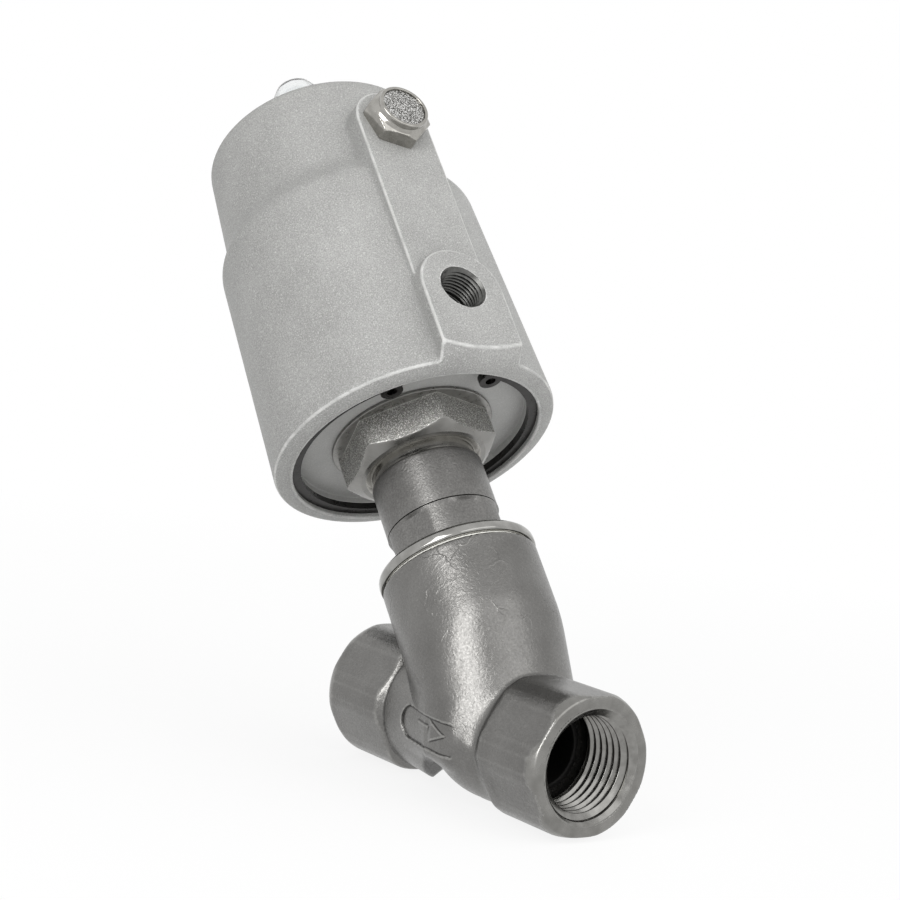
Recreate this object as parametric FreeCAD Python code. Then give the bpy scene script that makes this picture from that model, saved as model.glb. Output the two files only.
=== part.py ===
import FreeCAD, Part

import math
import os

os.makedirs("parts", exist_ok=True)

# Angle seat valve with a piston actuator. The pipe runs along X, the outlet mouth is at the
# origin and the stem leans towards the inlet. Every stem piece is drawn about Z, with Z = 0
# where the stem axis meets the pipe axis, and is then leant over.
LEAN = 49.0  # angle between pipe axis and stem axis, degrees
OUTLET_REACH = 23.0  # crossing of the axes to the outlet face
INLET_REACH = 47.0  # crossing of the axes to the inlet face
OVERLAP = 1.0  # how far a cut runs past the face that it opens
CHAMFER_ANGLE = 30.0  # on the corners of nuts and hexagons, degrees

# Pipe threads, half inch parallel for the pipe and one eighth inch for the air.
PIPE_THREAD_R = 10.48
PIPE_THREAD_DEPTH = 14.0
AIR_THREAD_R = 4.864

# Body casting.
PORT_FLATS = 27.1
PORT_CORNER_R = 14.4  # the corners of the port hexagons are turned round
PORT_TURNED_R = 13.6
PORT_TURNED_ANGLE = 65.0
HUB_CHAMFER_ANGLE = 45.0
OUTLET_HEX_LENGTH = 17.6
INLET_HEX_LENGTH = 19.8
PASSAGE_R = 7.4
HUB_R = 12.9
HUB_END_R = 14.2
HUB_FLARE_END = 12.0
HUB_SHELF = 2.2  # height along the stem where the inlet hub stops underneath
NECK_WALL = 3.9
NECK_TOP = 37.6
CHAMBER_R = 12.6
ORIFICE_R = 6.5
SEAT_LAND = 1.5
SEAT_HEIGHT = 1.6
SEAT_WALL = 3.0
CHAMBER_FLOOR = 3.0
DOME_CENTRE = 4.5
FRONT_LEAN = 63.0  # slope of the casting's front over the outlet, degrees
FRONT_START = 22.0
FRONT_EXTRA = 0.8  # the drawn-in front is this much larger in radius

# Bonnet.
GASKET_THICKNESS = 0.4
GASKET_INSET = 0.8
FLANGE_OVERHANG = 0.2
FLANGE_THICKNESS = 2.6
FLANGE_ROUND = 1.3
FLATS_LENGTH = 8.6
BONNET_R = 12.0
BONNET_FLATS = 21.0
BONNET_FLATS_TURN = 20.0
BONNET_BARREL = 12.0
COLLAR_R = 11.3
COLLAR_LENGTH = 2.2
SHANK_R = 10.0
SHANK_IN_COVER = 5.0
SHANK_GAP = 0.5
SPIGOT_LENGTH = 13.0
PACKING_BORE_R = 7.0
PACKING_SHELF = 2.0

# Stem and the seals round it.
STEM_R = 4.0
STEM_END_R = 3.0
STEM_PROUD = 1.0
PISTON_STUD_PROUD = 2.0
RUNNING_CLEARANCE = 0.04
ROD_GAP = 0.5
FIT_CLEARANCE = 0.03
STROKE = 10.0
GUIDE_BUSH_LENGTH = 7.0
GUIDE_BUSH_R = 6.4
PACKING_COUNT = 3
PACKING_PITCH = 3.6
DISC_SPRING_COUNT = 3
DISC_SPRING_PITCH = 2.5
DISC_SPRING_THICKNESS = 0.8
FOLLOWER_THICKNESS = 2.0
GLAND_LENGTH = 10.0
GLAND_GAP = 0.1
GLAND_SLOT = 1.6

# Closing disc.
DISC_R = 10.6
DISC_THICKNESS = 6.0
DISC_CHAMFER = 1.5
DISC_EDGE_SETBACK = 0.3
SEAL_THICKNESS = 2.2
SEAL_R = 9.0
SEAL_WASHER_R = 5.6
SEAL_WASHER_THICKNESS = 1.2
DISC_NUT_FLATS = 8.0
DISC_NUT_HEIGHT = 3.6

# Nut, washer and bottom cover.
NUT_FLATS = 29.5
NUT_TURN = -15.0
NUT_HEIGHT = 8.0
NUT_TURNED_R = 13.7
NUT_SINK_GAP = 0.6
NUT_SINK_DEPTH = 1.8
WASHER_R = 17.7
WASHER_THICKNESS = 0.8
WASHER_GAP = 0.3
COVER_THICKNESS = 6.2
COVER_RIM_HEIGHT = 1.4  # the raised rim that the ring bears on
COVER_RIM_WIDTH = 2.0
COVER_HUB_R = 12.0
COVER_HUB_HEIGHT = 8.0
COVER_HUB_LIP = 1.5
COVER_CHAMFER = 0.4
COVER_SEAL_WIDTH = 1.8
ROD_BORE_R = 6.8
ROD_BUSH_LENGTH = 3.6
RING_THICKNESS = 1.5
RING_CLEARANCE = 0.5
RING_DEPTH = 1.3
RING_WIDTH = 3.3
RING_GAP = 42.0
RING_TURN = -13.0
RING_EYE_R = 2.4
RING_EYE_HOLE_R = 1.1

# Actuator housing.
RIM_SETBACK = 4.1
BORE_R = 25.0
BORE_LENGTH = 42.0
COVER_LEDGE = 2.2
LIP_WIDTH = 2.7
RIM_CHAMFER = 1.1
HOUSING_DRAFT = 1.7
HOUSING_LENGTH = 83.4
UPPER_LENGTH = 29.6
SHOULDER_STEP = 2.7
SHOULDER_DROP = 5.0
UPPER_DRAFT = 1.7
TOP_ROUND = 2.5
TOP_WALL = 6.0
SPRING_CHAMBER_STEP = 3.6

# Rib and air boss on the housing.
ACTUATOR_TURN = -4.5  # the actuator as it is locked on its thread, degrees about the stem
RIB_PROUD = 0.9
RIB_WIDTH = 17.8
BOSS_PROUD = 1.8
BOSS_WIDTH = 19.4
AIR_PORT_HEIGHT = 18.3
VENT_SETBACK = 18.2

# Piston.
PISTON_CLEARANCE = 0.35
PISTON_THICKNESS = 11.0
PISTON_REST = 26.0
PISTON_WEB = 5.0
PISTON_WALL = 4.0
SEAL_GROOVE_WIDTH = 3.0
SEAL_GROOVE_DEPTH = 2.4
BAND_GROOVE_WIDTH = 3.0
BAND_GROOVE_DEPTH = 1.4
BAND_SETBACK = 1.2
SEAL_SETBACK = 1.6
PISTON_WASHER_R = 6.4
PISTON_WASHER_THICKNESS = 1.2
PISTON_NUT_FLATS = 10.0
PISTON_NUT_HEIGHT = 5.0
PIN_R = 2.0
PIN_FOOT = 3.0
PIN_GAP = 0.6

# Springs.
SPRING_MEAN_R = 16.4
SPRING_WIRE_WIDTH = 4.0
SPRING_WIRE_HEIGHT = 2.4
SPRING_TURNS = 6
INNER_MEAN_R = 10.2
INNER_WIRE_WIDTH = 2.6
INNER_WIRE_HEIGHT = 1.6
INNER_TURNS = 7

# Silencer and sight cap.
SILENCER_FLATS = 13.0
SILENCER_HEX = 3.4
SILENCER_RIM_R = 5.3
SILENCER_RIM = 2.1
SILENCER_SHANK = 6.0
SILENCER_WALL = 1.6
MESH_R = 4.4
MESH_THICKNESS = 1.4
MESH_DEPTH = 0.6
CAP_R = 5.8
CAP_HEIGHT = 20.7
CAP_WALL = 1.4
CAP_THREAD_R = 6.0
CAP_SEAL_WIDTH = 1.6
CAP_FLANGE = 1.2
CAP_FLANGE_LIP = 0.3

NECK_R = CHAMBER_R + NECK_WALL
FRONT_R = NECK_R + FRONT_EXTRA
FLANGE_R = NECK_R + FLANGE_OVERHANG

# Radii of the housing and distances of its pads from the stem axis.
COVER_SEAT_R = BORE_R + COVER_LEDGE
HOUSING_R = COVER_SEAT_R + LIP_WIDTH + RIM_CHAMFER
HOUSING_SHOULDER_R = HOUSING_R - HOUSING_DRAFT
UPPER_R = HOUSING_SHOULDER_R - SHOULDER_STEP
UPPER_TOP_R = UPPER_R - UPPER_DRAFT
SPRING_CHAMBER_R = BORE_R - SPRING_CHAMBER_STEP
RIB_FACE = HOUSING_SHOULDER_R + RIB_PROUD
BOSS_FACE = HOUSING_R + BOSS_PROUD

# Heights along the stem, worked out from the sizes above.
SEAT_PLANE = CHAMBER_FLOOR + SEAT_HEIGHT
FLANGE_BASE = NECK_TOP + GASKET_THICKNESS
FLATS_BASE = FLANGE_BASE + FLANGE_THICKNESS
BARREL_BASE = FLATS_BASE + FLATS_LENGTH
COLLAR_BASE = BARREL_BASE + BONNET_BARREL
NUT_BASE = COLLAR_BASE + COLLAR_LENGTH
WASHER_BASE = NUT_BASE + NUT_HEIGHT
COVER_BASE = WASHER_BASE + WASHER_THICKNESS
COVER_TOP = COVER_BASE + COVER_THICKNESS
COVER_RIM = COVER_BASE - COVER_RIM_HEIGHT
SHANK_TOP = COVER_BASE + SHANK_IN_COVER
ROD_BUSH_BASE = SHANK_TOP + SHANK_GAP
RIM = COVER_BASE - RIM_SETBACK
HOUSING_TOP = RIM + HOUSING_LENGTH
SHOULDER = HOUSING_TOP - UPPER_LENGTH
AIR_PORT = RIM + AIR_PORT_HEIGHT
VENT = HOUSING_TOP - VENT_SETBACK
PISTON_BASE = RIM + PISTON_REST
PISTON_TOP = PISTON_BASE + PISTON_THICKNESS
SPRING_TOP = HOUSING_TOP - TOP_WALL
WEB_TOP = PISTON_BASE + PISTON_WEB


def revolve(profile):
    points = [FreeCAD.Vector(r, 0, z) for r, z in profile]
    points.append(points[0])
    face = Part.Face(Part.makePolygon(points))
    return face.revolve(FreeCAD.Vector(0, 0, 0), FreeCAD.Vector(0, 0, 1), 360)


def rod(radius, low, high):
    return Part.makeCylinder(radius, high - low, FreeCAD.Vector(0, 0, low))


def tube(outer, inner, low, high):
    return rod(outer, low, high).cut(rod(inner, low, high))


def hexagon(flats, low, high):
    corner = flats / 2 / math.cos(math.pi / 6)
    angles = [math.pi / 3 * i for i in range(7)]
    points = [FreeCAD.Vector(corner * math.cos(a), corner * math.sin(a), low) for a in angles]
    face = Part.Face(Part.makePolygon(points))
    return face.extrude(FreeCAD.Vector(0, 0, high - low))


def turned_hexagon(flats, low, high, low_r, high_r, angle=CHAMFER_ANGLE):
    # A hexagon whose corners are turned off, down to a circle at each end.
    corner = flats / 2 / math.cos(math.pi / 6)
    slope = math.tan(math.radians(angle))
    low_rise = (corner - low_r) * slope
    high_drop = (corner - high_r) * slope
    envelope = revolve([
        (0, low),
        (low_r, low),
        (corner, low + low_rise),
        (corner, high - high_drop),
        (high_r, high),
        (0, high),
    ])
    return hexagon(flats, low, high).common(envelope)


def ring_at(edge, height, radius):
    # True for the circle about Z at this height and radius.
    box = edge.BoundBox
    level = abs(box.ZMin - height) < 0.01 and abs(box.ZMax - height) < 0.01
    return level and abs(box.XMax - radius) < 0.05 and abs(box.YMax - radius) < 0.05


def coil(mean_r, width, height, low, high, turns):
    # A spring of flat wire, wound from one end plane to the other.
    climb = high - low - height
    path = Part.makeHelix(climb / turns, climb, mean_r)
    corners = [
        FreeCAD.Vector(mean_r - width / 2, 0, -height / 2),
        FreeCAD.Vector(mean_r + width / 2, 0, -height / 2),
        FreeCAD.Vector(mean_r + width / 2, 0, height / 2),
        FreeCAD.Vector(mean_r - width / 2, 0, height / 2),
    ]
    section = Part.makePolygon(corners + corners[:1])
    wire = Part.Wire(path.Edges).makePipeShell([section], True, True)
    wire.translate(FreeCAD.Vector(0, 0, low + height / 2))
    return wire


def turn(shape, angle):
    turned = shape.copy()
    turned.rotate(FreeCAD.Vector(0, 0, 0), FreeCAD.Vector(0, 0, 1), angle)
    return turned


def along_pipe(shape):
    # A shape drawn about Z is laid along X, with the corners of its hexagons at the sides.
    laid = turn(shape, 90)
    laid.rotate(FreeCAD.Vector(0, 0, 0), FreeCAD.Vector(0, 1, 0), 90)
    return laid


def lean(shape):
    leant = shape.copy()
    leant.rotate(FreeCAD.Vector(0, 0, 0), FreeCAD.Vector(0, 1, 0), LEAN - 90)
    return leant


def towards_rib(shape):
    # A shape drawn about Z is turned to point out of the rib, square to the stem.
    turned = shape.copy()
    turned.rotate(FreeCAD.Vector(0, 0, 0), FreeCAD.Vector(0, 1, 0), 90)
    return turned


def save(node, shape):
    placed = shape.copy()
    placed.translate(FreeCAD.Vector(-OUTLET_REACH, 0, 0))
    placed.exportStep("parts/" + node + ".step")


def save_leant(node, shape):
    save(node, lean(shape))


def save_actuator(node, shape):
    save_leant(node, turn(shape, ACTUATOR_TURN))


def half_space(low, high):
    # A block across the whole body between two heights along the stem.
    size = 4 * (INLET_REACH + OUTLET_REACH)
    return Part.makeBox(size, size, high - low, FreeCAD.Vector(-size / 2, -size / 2, low))


def body_outside():
    # A leaning round chamber with a ball end. Its front, over the outlet, is drawn in by a
    # second round form that leans less and is a little larger. The two hexagonal ends and
    # their round hubs run into it along the pipe axis.
    chamber = rod(NECK_R, DOME_CENTRE, NECK_TOP)
    chamber = chamber.fuse(Part.makeSphere(NECK_R, FreeCAD.Vector(0, 0, DOME_CENTRE)))
    front = rod(FRONT_R, -3 * NECK_TOP, 3 * NECK_TOP)
    front.translate(FreeCAD.Vector(-FRONT_EXTRA, 0, 0))
    pivot = FreeCAD.Vector(NECK_R, 0, FRONT_START)
    front.rotate(pivot, FreeCAD.Vector(0, 1, 0), FRONT_LEAN - LEAN)
    lower = half_space(-2 * NECK_R, FRONT_START + FRONT_EXTRA)
    chamber = lean(chamber.removeSplitter().cut(lower.cut(front)))
    hex_start = OUTLET_REACH - OUTLET_HEX_LENGTH
    hex_end = INLET_HEX_LENGTH - INLET_REACH
    corner = PORT_FLATS / 2 / math.cos(math.pi / 6)
    turned = PORT_TURNED_R
    steep = PORT_TURNED_ANGLE
    corners = rod(PORT_CORNER_R, -INLET_REACH, OUTLET_REACH)
    outlet = turned_hexagon(PORT_FLATS, hex_start, OUTLET_REACH, corner, turned, steep)
    inlet = turned_hexagon(PORT_FLATS, -INLET_REACH, hex_end, turned, corner, steep)
    shoulder = turned_hexagon(PORT_FLATS, -INLET_REACH, hex_end, corner, HUB_R, HUB_CHAMFER_ANGLE)
    flare = revolve([
        (0, hex_end),
        (HUB_R, hex_end),
        (HUB_END_R, -HUB_FLARE_END),
        (0, -HUB_FLARE_END),
    ])
    above_shelf = lean(half_space(HUB_SHELF, 2 * INLET_REACH))
    inlet_hub = along_pipe(flare).common(above_shelf)
    along = [outlet.common(corners), inlet.common(shoulder).common(corners), rod(HUB_R, 0, hex_start)]
    ends = [along_pipe(shape) for shape in along]
    return chamber.fuse(ends + [inlet_hub]).removeSplitter()


def body_inside():
    chamber = rod(CHAMBER_R, CHAMBER_FLOOR, NECK_TOP)
    orifice = rod(ORIFICE_R, CHAMBER_FLOOR - SEAT_WALL - OVERLAP, CHAMBER_FLOOR)
    seat = tube(ORIFICE_R + SEAT_LAND, ORIFICE_R, CHAMBER_FLOOR, SEAT_PLANE)
    above = lean(half_space(CHAMBER_FLOOR, NECK_TOP))
    below = lean(half_space(-NECK_TOP, CHAMBER_FLOOR - SEAT_WALL))
    inlet = along_pipe(rod(PASSAGE_R, -INLET_REACH, 0)).common(above)
    outlet = along_pipe(rod(PASSAGE_R, -PASSAGE_R, OUTLET_REACH)).common(below)
    threads = [
        rod(PIPE_THREAD_R, OUTLET_REACH - PIPE_THREAD_DEPTH, OUTLET_REACH),
        rod(PIPE_THREAD_R, -INLET_REACH, -INLET_REACH + PIPE_THREAD_DEPTH),
    ]
    flow = lean(chamber.cut(seat).fuse(orifice))
    return flow.fuse([inlet, outlet] + [along_pipe(t) for t in threads])


def body_casting():
    return body_outside().cut(body_inside())


def bonnet():
    spigot_base = NECK_TOP - SPIGOT_LENGTH
    bush_top = spigot_base + GUIDE_BUSH_LENGTH
    outside = revolve([
        (0, spigot_base),
        (CHAMBER_R - FIT_CLEARANCE, spigot_base),
        (CHAMBER_R - FIT_CLEARANCE, FLANGE_BASE),
        (FLANGE_R, FLANGE_BASE),
        (FLANGE_R, FLATS_BASE),
        (BONNET_R, FLATS_BASE),
        (BONNET_R, COLLAR_BASE),
        (COLLAR_R, COLLAR_BASE),
        (COLLAR_R, NUT_BASE),
        (SHANK_R, NUT_BASE),
        (SHANK_R, SHANK_TOP),
        (0, SHANK_TOP),
    ])
    rim = [e for e in outside.Edges if ring_at(e, FLATS_BASE, FLANGE_R)]
    outside = outside.makeFillet(FLANGE_ROUND, rim)
    hexed = turn(hexagon(BONNET_FLATS, FLATS_BASE, BARREL_BASE), BONNET_FLATS_TURN)
    flats = rod(FLANGE_R, FLATS_BASE, BARREL_BASE).cut(hexed)
    bore = revolve([
        (0, spigot_base),
        (GUIDE_BUSH_R + FIT_CLEARANCE, spigot_base),
        (GUIDE_BUSH_R + FIT_CLEARANCE, bush_top),
        (STEM_R + ROD_GAP, bush_top),
        (STEM_R + ROD_GAP, packing_base()),
        (PACKING_BORE_R, packing_base()),
        (PACKING_BORE_R, SHANK_TOP),
        (0, SHANK_TOP),
    ])
    return outside.cut(flats).cut(bore)


def bonnet_gasket():
    return tube(NECK_R - GASKET_INSET, CHAMBER_R + FIT_CLEARANCE, NECK_TOP, FLANGE_BASE)


def lock_nut():
    corner = NUT_FLATS / 2 / math.cos(math.pi / 6)
    nut = turned_hexagon(NUT_FLATS, NUT_BASE, WASHER_BASE, NUT_TURNED_R, corner)
    countersink = revolve([
        (0, NUT_BASE),
        (COLLAR_R + NUT_SINK_GAP, NUT_BASE),
        (SHANK_R + FIT_CLEARANCE, NUT_BASE + NUT_SINK_DEPTH),
        (0, NUT_BASE + NUT_SINK_DEPTH),
    ])
    nut = nut.cut(countersink).cut(rod(SHANK_R + FIT_CLEARANCE, NUT_BASE, WASHER_BASE))
    return turn(nut, NUT_TURN)


def lock_washer():
    return tube(WASHER_R, SHANK_R + WASHER_GAP, WASHER_BASE, COVER_BASE)


def bottom_cover():
    hub_top = COVER_TOP + COVER_HUB_HEIGHT
    seal_top = hub_top - COVER_HUB_LIP
    groove = COVER_BASE + (COVER_THICKNESS - COVER_SEAL_WIDTH) / 2
    outer = COVER_SEAT_R - FIT_CLEARANCE
    outside = revolve([
        (0, COVER_BASE),
        (outer - COVER_RIM_WIDTH, COVER_BASE),
        (outer - COVER_RIM_WIDTH, COVER_RIM),
        (outer - COVER_CHAMFER, COVER_RIM),
        (outer, COVER_RIM + COVER_CHAMFER),
        (outer, groove),
        (outer - COVER_SEAL_WIDTH, groove),
        (outer - COVER_SEAL_WIDTH, groove + COVER_SEAL_WIDTH),
        (outer, groove + COVER_SEAL_WIDTH),
        (outer, COVER_TOP),
        (COVER_HUB_R, COVER_TOP),
        (COVER_HUB_R, hub_top),
        (0, hub_top),
    ])
    bore = revolve([
        (0, COVER_BASE),
        (SHANK_R + FIT_CLEARANCE, COVER_BASE),
        (SHANK_R + FIT_CLEARANCE, ROD_BUSH_BASE),
        (ROD_BORE_R, ROD_BUSH_BASE),
        (ROD_BORE_R, seal_top),
        (STEM_R + ROD_GAP, seal_top),
        (STEM_R + ROD_GAP, hub_top),
        (0, hub_top),
    ])
    return outside.cut(bore)


def cover_seal():
    low = COVER_BASE + (COVER_THICKNESS - COVER_SEAL_WIDTH) / 2 + FIT_CLEARANCE
    inner = COVER_SEAT_R - COVER_SEAL_WIDTH
    high = low + COVER_SEAL_WIDTH - 2 * FIT_CLEARANCE
    return tube(COVER_SEAT_R - FIT_CLEARANCE, inner, low, high)


def rod_bush():
    low = ROD_BUSH_BASE
    return tube(ROD_BORE_R - FIT_CLEARANCE, STEM_R + RUNNING_CLEARANCE, low, low + ROD_BUSH_LENGTH)


def rod_seal():
    low = ROD_BUSH_BASE + ROD_BUSH_LENGTH
    top = COVER_TOP + COVER_HUB_HEIGHT - COVER_HUB_LIP
    return tube(ROD_BORE_R - FIT_CLEARANCE, STEM_R + RUNNING_CLEARANCE, low, top)


def retaining_ring():
    # An open spring ring in the groove below the cover, with an eyed ear at each end.
    low = COVER_RIM - RING_THICKNESS
    outer = COVER_SEAT_R + RING_DEPTH - FIT_CLEARANCE
    ring = tube(outer, COVER_SEAT_R + RING_DEPTH - RING_WIDTH, low, COVER_RIM)
    half = math.radians(RING_GAP / 2)
    reach = 2 * HOUSING_R
    mouth = Part.makePolygon([
        FreeCAD.Vector(0, 0, low),
        FreeCAD.Vector(reach * math.cos(half), -reach * math.sin(half), low),
        FreeCAD.Vector(reach * math.cos(half), reach * math.sin(half), low),
        FreeCAD.Vector(0, 0, low),
    ])
    ring = ring.cut(Part.Face(mouth).extrude(FreeCAD.Vector(0, 0, RING_THICKNESS)))
    eye_r = COVER_SEAT_R - RING_EYE_R - RING_CLEARANCE
    for side in (-1, 1):
        angle = side * (half + RING_EYE_R / eye_r)
        place = FreeCAD.Vector(eye_r * math.cos(angle), eye_r * math.sin(angle), low)
        ear = Part.makeCylinder(RING_EYE_R, RING_THICKNESS, place)
        hole = Part.makeCylinder(RING_EYE_HOLE_R, RING_THICKNESS, place)
        ring = ring.fuse(ear).cut(hole)
    return turn(ring, RING_TURN)


def lower_guide_bush():
    low = NECK_TOP - SPIGOT_LENGTH
    return tube(GUIDE_BUSH_R, STEM_R + RUNNING_CLEARANCE, low, low + GUIDE_BUSH_LENGTH)


def packing_base():
    return NECK_TOP - SPIGOT_LENGTH + GUIDE_BUSH_LENGTH + PACKING_SHELF


def packing_rings():
    rings = []
    outer = PACKING_BORE_R - FIT_CLEARANCE
    inner = STEM_R + RUNNING_CLEARANCE
    middle = (outer + inner) / 2
    for i in range(PACKING_COUNT):
        low = packing_base() + i * PACKING_PITCH
        rings.append(revolve([
            (inner, low),
            (middle, low + PACKING_PITCH / 2),
            (outer, low),
            (outer, low + PACKING_PITCH / 2),
            (middle, low + PACKING_PITCH),
            (inner, low + PACKING_PITCH / 2),
        ]))
    return Part.makeCompound(rings)


def follower_base():
    return packing_base() + PACKING_COUNT * PACKING_PITCH


def packing_follower():
    outer = PACKING_BORE_R - FIT_CLEARANCE
    low = follower_base()
    return tube(outer, STEM_R + GLAND_GAP, low, low + FOLLOWER_THICKNESS)


def disc_springs():
    # Conical spring washers, stacked edge to edge in opposite ways.
    low = follower_base() + FOLLOWER_THICKNESS
    outer = PACKING_BORE_R - GLAND_GAP
    inner = STEM_R + GLAND_GAP
    rise = DISC_SPRING_PITCH - DISC_SPRING_THICKNESS
    springs = []
    for i in range(DISC_SPRING_COUNT):
        base = low + i * DISC_SPRING_PITCH
        inner_lift = rise if i % 2 == 0 else 0
        outer_lift = rise - inner_lift
        springs.append(revolve([
            (inner, base + inner_lift),
            (outer, base + outer_lift),
            (outer, base + outer_lift + DISC_SPRING_THICKNESS),
            (inner, base + inner_lift + DISC_SPRING_THICKNESS),
        ]))
    return Part.makeCompound(springs)


def gland_bush():
    low = follower_base() + FOLLOWER_THICKNESS + DISC_SPRING_COUNT * DISC_SPRING_PITCH
    top = low + GLAND_LENGTH
    bush = tube(PACKING_BORE_R - FIT_CLEARANCE, STEM_R + GLAND_GAP, low, top)
    corner = FreeCAD.Vector(-2 * PACKING_BORE_R, -GLAND_SLOT / 2, top - GLAND_SLOT)
    slot = Part.makeBox(4 * PACKING_BORE_R, GLAND_SLOT, GLAND_SLOT, corner)
    return bush.cut(slot)


def housing_outside():
    lip_r = COVER_SEAT_R + LIP_WIDTH
    body = revolve([
        (0, RIM),
        (lip_r, RIM),
        (HOUSING_R, RIM + RIM_CHAMFER),
        (HOUSING_SHOULDER_R, SHOULDER),
        (UPPER_R, SHOULDER + SHOULDER_DROP),
        (UPPER_TOP_R, HOUSING_TOP),
        (0, HOUSING_TOP),
    ])
    rim = [e for e in body.Edges if ring_at(e, HOUSING_TOP, UPPER_TOP_R)]
    body = body.makeFillet(TOP_ROUND, rim)
    rib = upright_pad(RIB_FACE, RIB_WIDTH, RIM, VENT)
    boss = upright_pad(BOSS_FACE, BOSS_WIDTH, RIM, AIR_PORT)
    body = body.fuse([rib, boss]).removeSplitter()
    # The rim is turned to a cone that also runs through the foot of the air boss.
    reach = 2 * HOUSING_R
    waste = revolve([
        (lip_r, RIM),
        (reach, RIM),
        (reach, RIM + reach - lip_r),
    ])
    return body.cut(waste)


def upright_pad(face, width, low, arc_centre):
    # A flat pad beside the stem axis with a half-round head, standing out to the face distance.
    depth = face
    block = Part.makeBox(depth, width, arc_centre - low, FreeCAD.Vector(0, -width / 2, low))
    head = towards_rib(rod(width / 2, 0, depth))
    head.translate(FreeCAD.Vector(0, 0, arc_centre))
    return block.fuse(head).removeSplitter()


def housing_inside():
    ledge = COVER_TOP + FIT_CLEARANCE
    groove_top = COVER_RIM + FIT_CLEARANCE
    groove_base = groove_top - RING_THICKNESS - 2 * FIT_CLEARANCE
    groove_r = COVER_SEAT_R + RING_DEPTH
    bore_top = ledge + BORE_LENGTH
    return revolve([
        (0, RIM),
        (COVER_SEAT_R, RIM),
        (COVER_SEAT_R, groove_base),
        (groove_r, groove_base),
        (groove_r, groove_top),
        (COVER_SEAT_R, groove_top),
        (COVER_SEAT_R, ledge),
        (BORE_R, ledge),
        (BORE_R, bore_top),
        (SPRING_CHAMBER_R, bore_top + BORE_R - SPRING_CHAMBER_R),
        (SPRING_CHAMBER_R, SPRING_TOP),
        (CAP_THREAD_R, SPRING_TOP),
        (CAP_THREAD_R, HOUSING_TOP),
        (0, HOUSING_TOP),
    ])


def port_drilling(height, radius, inner, face):
    drill = towards_rib(rod(radius, inner, face))
    drill.translate(FreeCAD.Vector(0, 0, height))
    return drill


def actuator_housing():
    housing = housing_outside().cut(housing_inside())
    air = port_drilling(AIR_PORT, AIR_THREAD_R, BORE_R - 2 * OVERLAP, BOSS_FACE)
    vent_hole = port_drilling(VENT, AIR_THREAD_R, SPRING_CHAMBER_R - 2 * OVERLAP, RIB_FACE)
    return housing.cut(air).cut(vent_hole)


def silencer_parts():
    # Drawn about Z with Z = 0 on the face of the rib.
    shank = rod(AIR_THREAD_R - FIT_CLEARANCE, -SILENCER_SHANK, 0)
    corner = SILENCER_FLATS / 2 / math.cos(math.pi / 6)
    nut = turned_hexagon(SILENCER_FLATS, 0, SILENCER_HEX, corner, SILENCER_FLATS / 2)
    top = SILENCER_HEX + SILENCER_RIM
    shoulder = revolve([
        (0, SILENCER_HEX),
        (SILENCER_FLATS / 2, SILENCER_HEX),
        (SILENCER_RIM_R, SILENCER_HEX + SILENCER_RIM / 2),
        (SILENCER_RIM_R, top),
        (0, top),
    ])
    body = shank.fuse([nut, shoulder]).removeSplitter()
    throat = rod(AIR_THREAD_R - SILENCER_WALL, -SILENCER_SHANK, top)
    seat = rod(MESH_R + FIT_CLEARANCE, top - MESH_DEPTH - MESH_THICKNESS, top)
    mesh = rod(MESH_R, top - MESH_DEPTH - MESH_THICKNESS, top - MESH_DEPTH)
    return body.cut(throat).cut(seat), mesh


def on_rib(shape):
    seated = towards_rib(shape)
    seated.translate(FreeCAD.Vector(RIB_FACE, 0, VENT))
    return seated


def sight_cap():
    seal_top = HOUSING_TOP + CAP_SEAL_WIDTH
    top = HOUSING_TOP + CAP_HEIGHT
    dome_base = top - CAP_R
    inner = CAP_R - CAP_WALL
    outside = rod(CAP_THREAD_R - FIT_CLEARANCE, SPRING_TOP, seal_top)
    flange_r = CAP_THREAD_R + CAP_SEAL_WIDTH + CAP_FLANGE_LIP
    dome = Part.makeSphere(CAP_R, FreeCAD.Vector(0, 0, dome_base))
    outside = outside.fuse([
        rod(flange_r, seal_top, seal_top + CAP_FLANGE),
        rod(CAP_R, seal_top, dome_base),
        dome.common(rod(CAP_R, dome_base, top)),
    ])
    hollow = revolve([
        (0, SPRING_TOP),
        (PIN_R + PIN_GAP, SPRING_TOP),
        (PIN_R + PIN_GAP, HOUSING_TOP),
        (inner, HOUSING_TOP),
        (inner, dome_base),
        (PIN_R + PIN_GAP, top - CAP_WALL),
        (0, top - CAP_WALL),
    ])
    return outside.cut(hollow).removeSplitter()


def cap_seal():
    inner = CAP_THREAD_R
    return tube(inner + CAP_SEAL_WIDTH, inner, HOUSING_TOP, HOUSING_TOP + CAP_SEAL_WIDTH)


def stem():
    foot = SEAT_PLANE - SEAL_WASHER_THICKNESS - DISC_NUT_HEIGHT - STEM_PROUD
    holder_top = SEAT_PLANE + DISC_THICKNESS
    nut_top = WEB_TOP + PISTON_WASHER_THICKNESS + PISTON_NUT_HEIGHT
    return revolve([
        (0, foot),
        (STEM_END_R, foot),
        (STEM_END_R, holder_top),
        (STEM_R, holder_top),
        (STEM_R, PISTON_BASE),
        (STEM_END_R, PISTON_BASE),
        (STEM_END_R, nut_top + PISTON_STUD_PROUD),
        (0, nut_top + PISTON_STUD_PROUD),
    ])


def disc_holder():
    low = SEAT_PLANE
    high = SEAT_PLANE + DISC_THICKNESS
    return revolve([
        (STEM_END_R + FIT_CLEARANCE, low + SEAL_THICKNESS),
        (SEAL_R + FIT_CLEARANCE, low + SEAL_THICKNESS),
        (SEAL_R + FIT_CLEARANCE, low + DISC_EDGE_SETBACK),
        (DISC_R, low + DISC_EDGE_SETBACK),
        (DISC_R, high - DISC_CHAMFER),
        (DISC_R - DISC_CHAMFER, high),
        (STEM_END_R + FIT_CLEARANCE, high),
    ])


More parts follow.
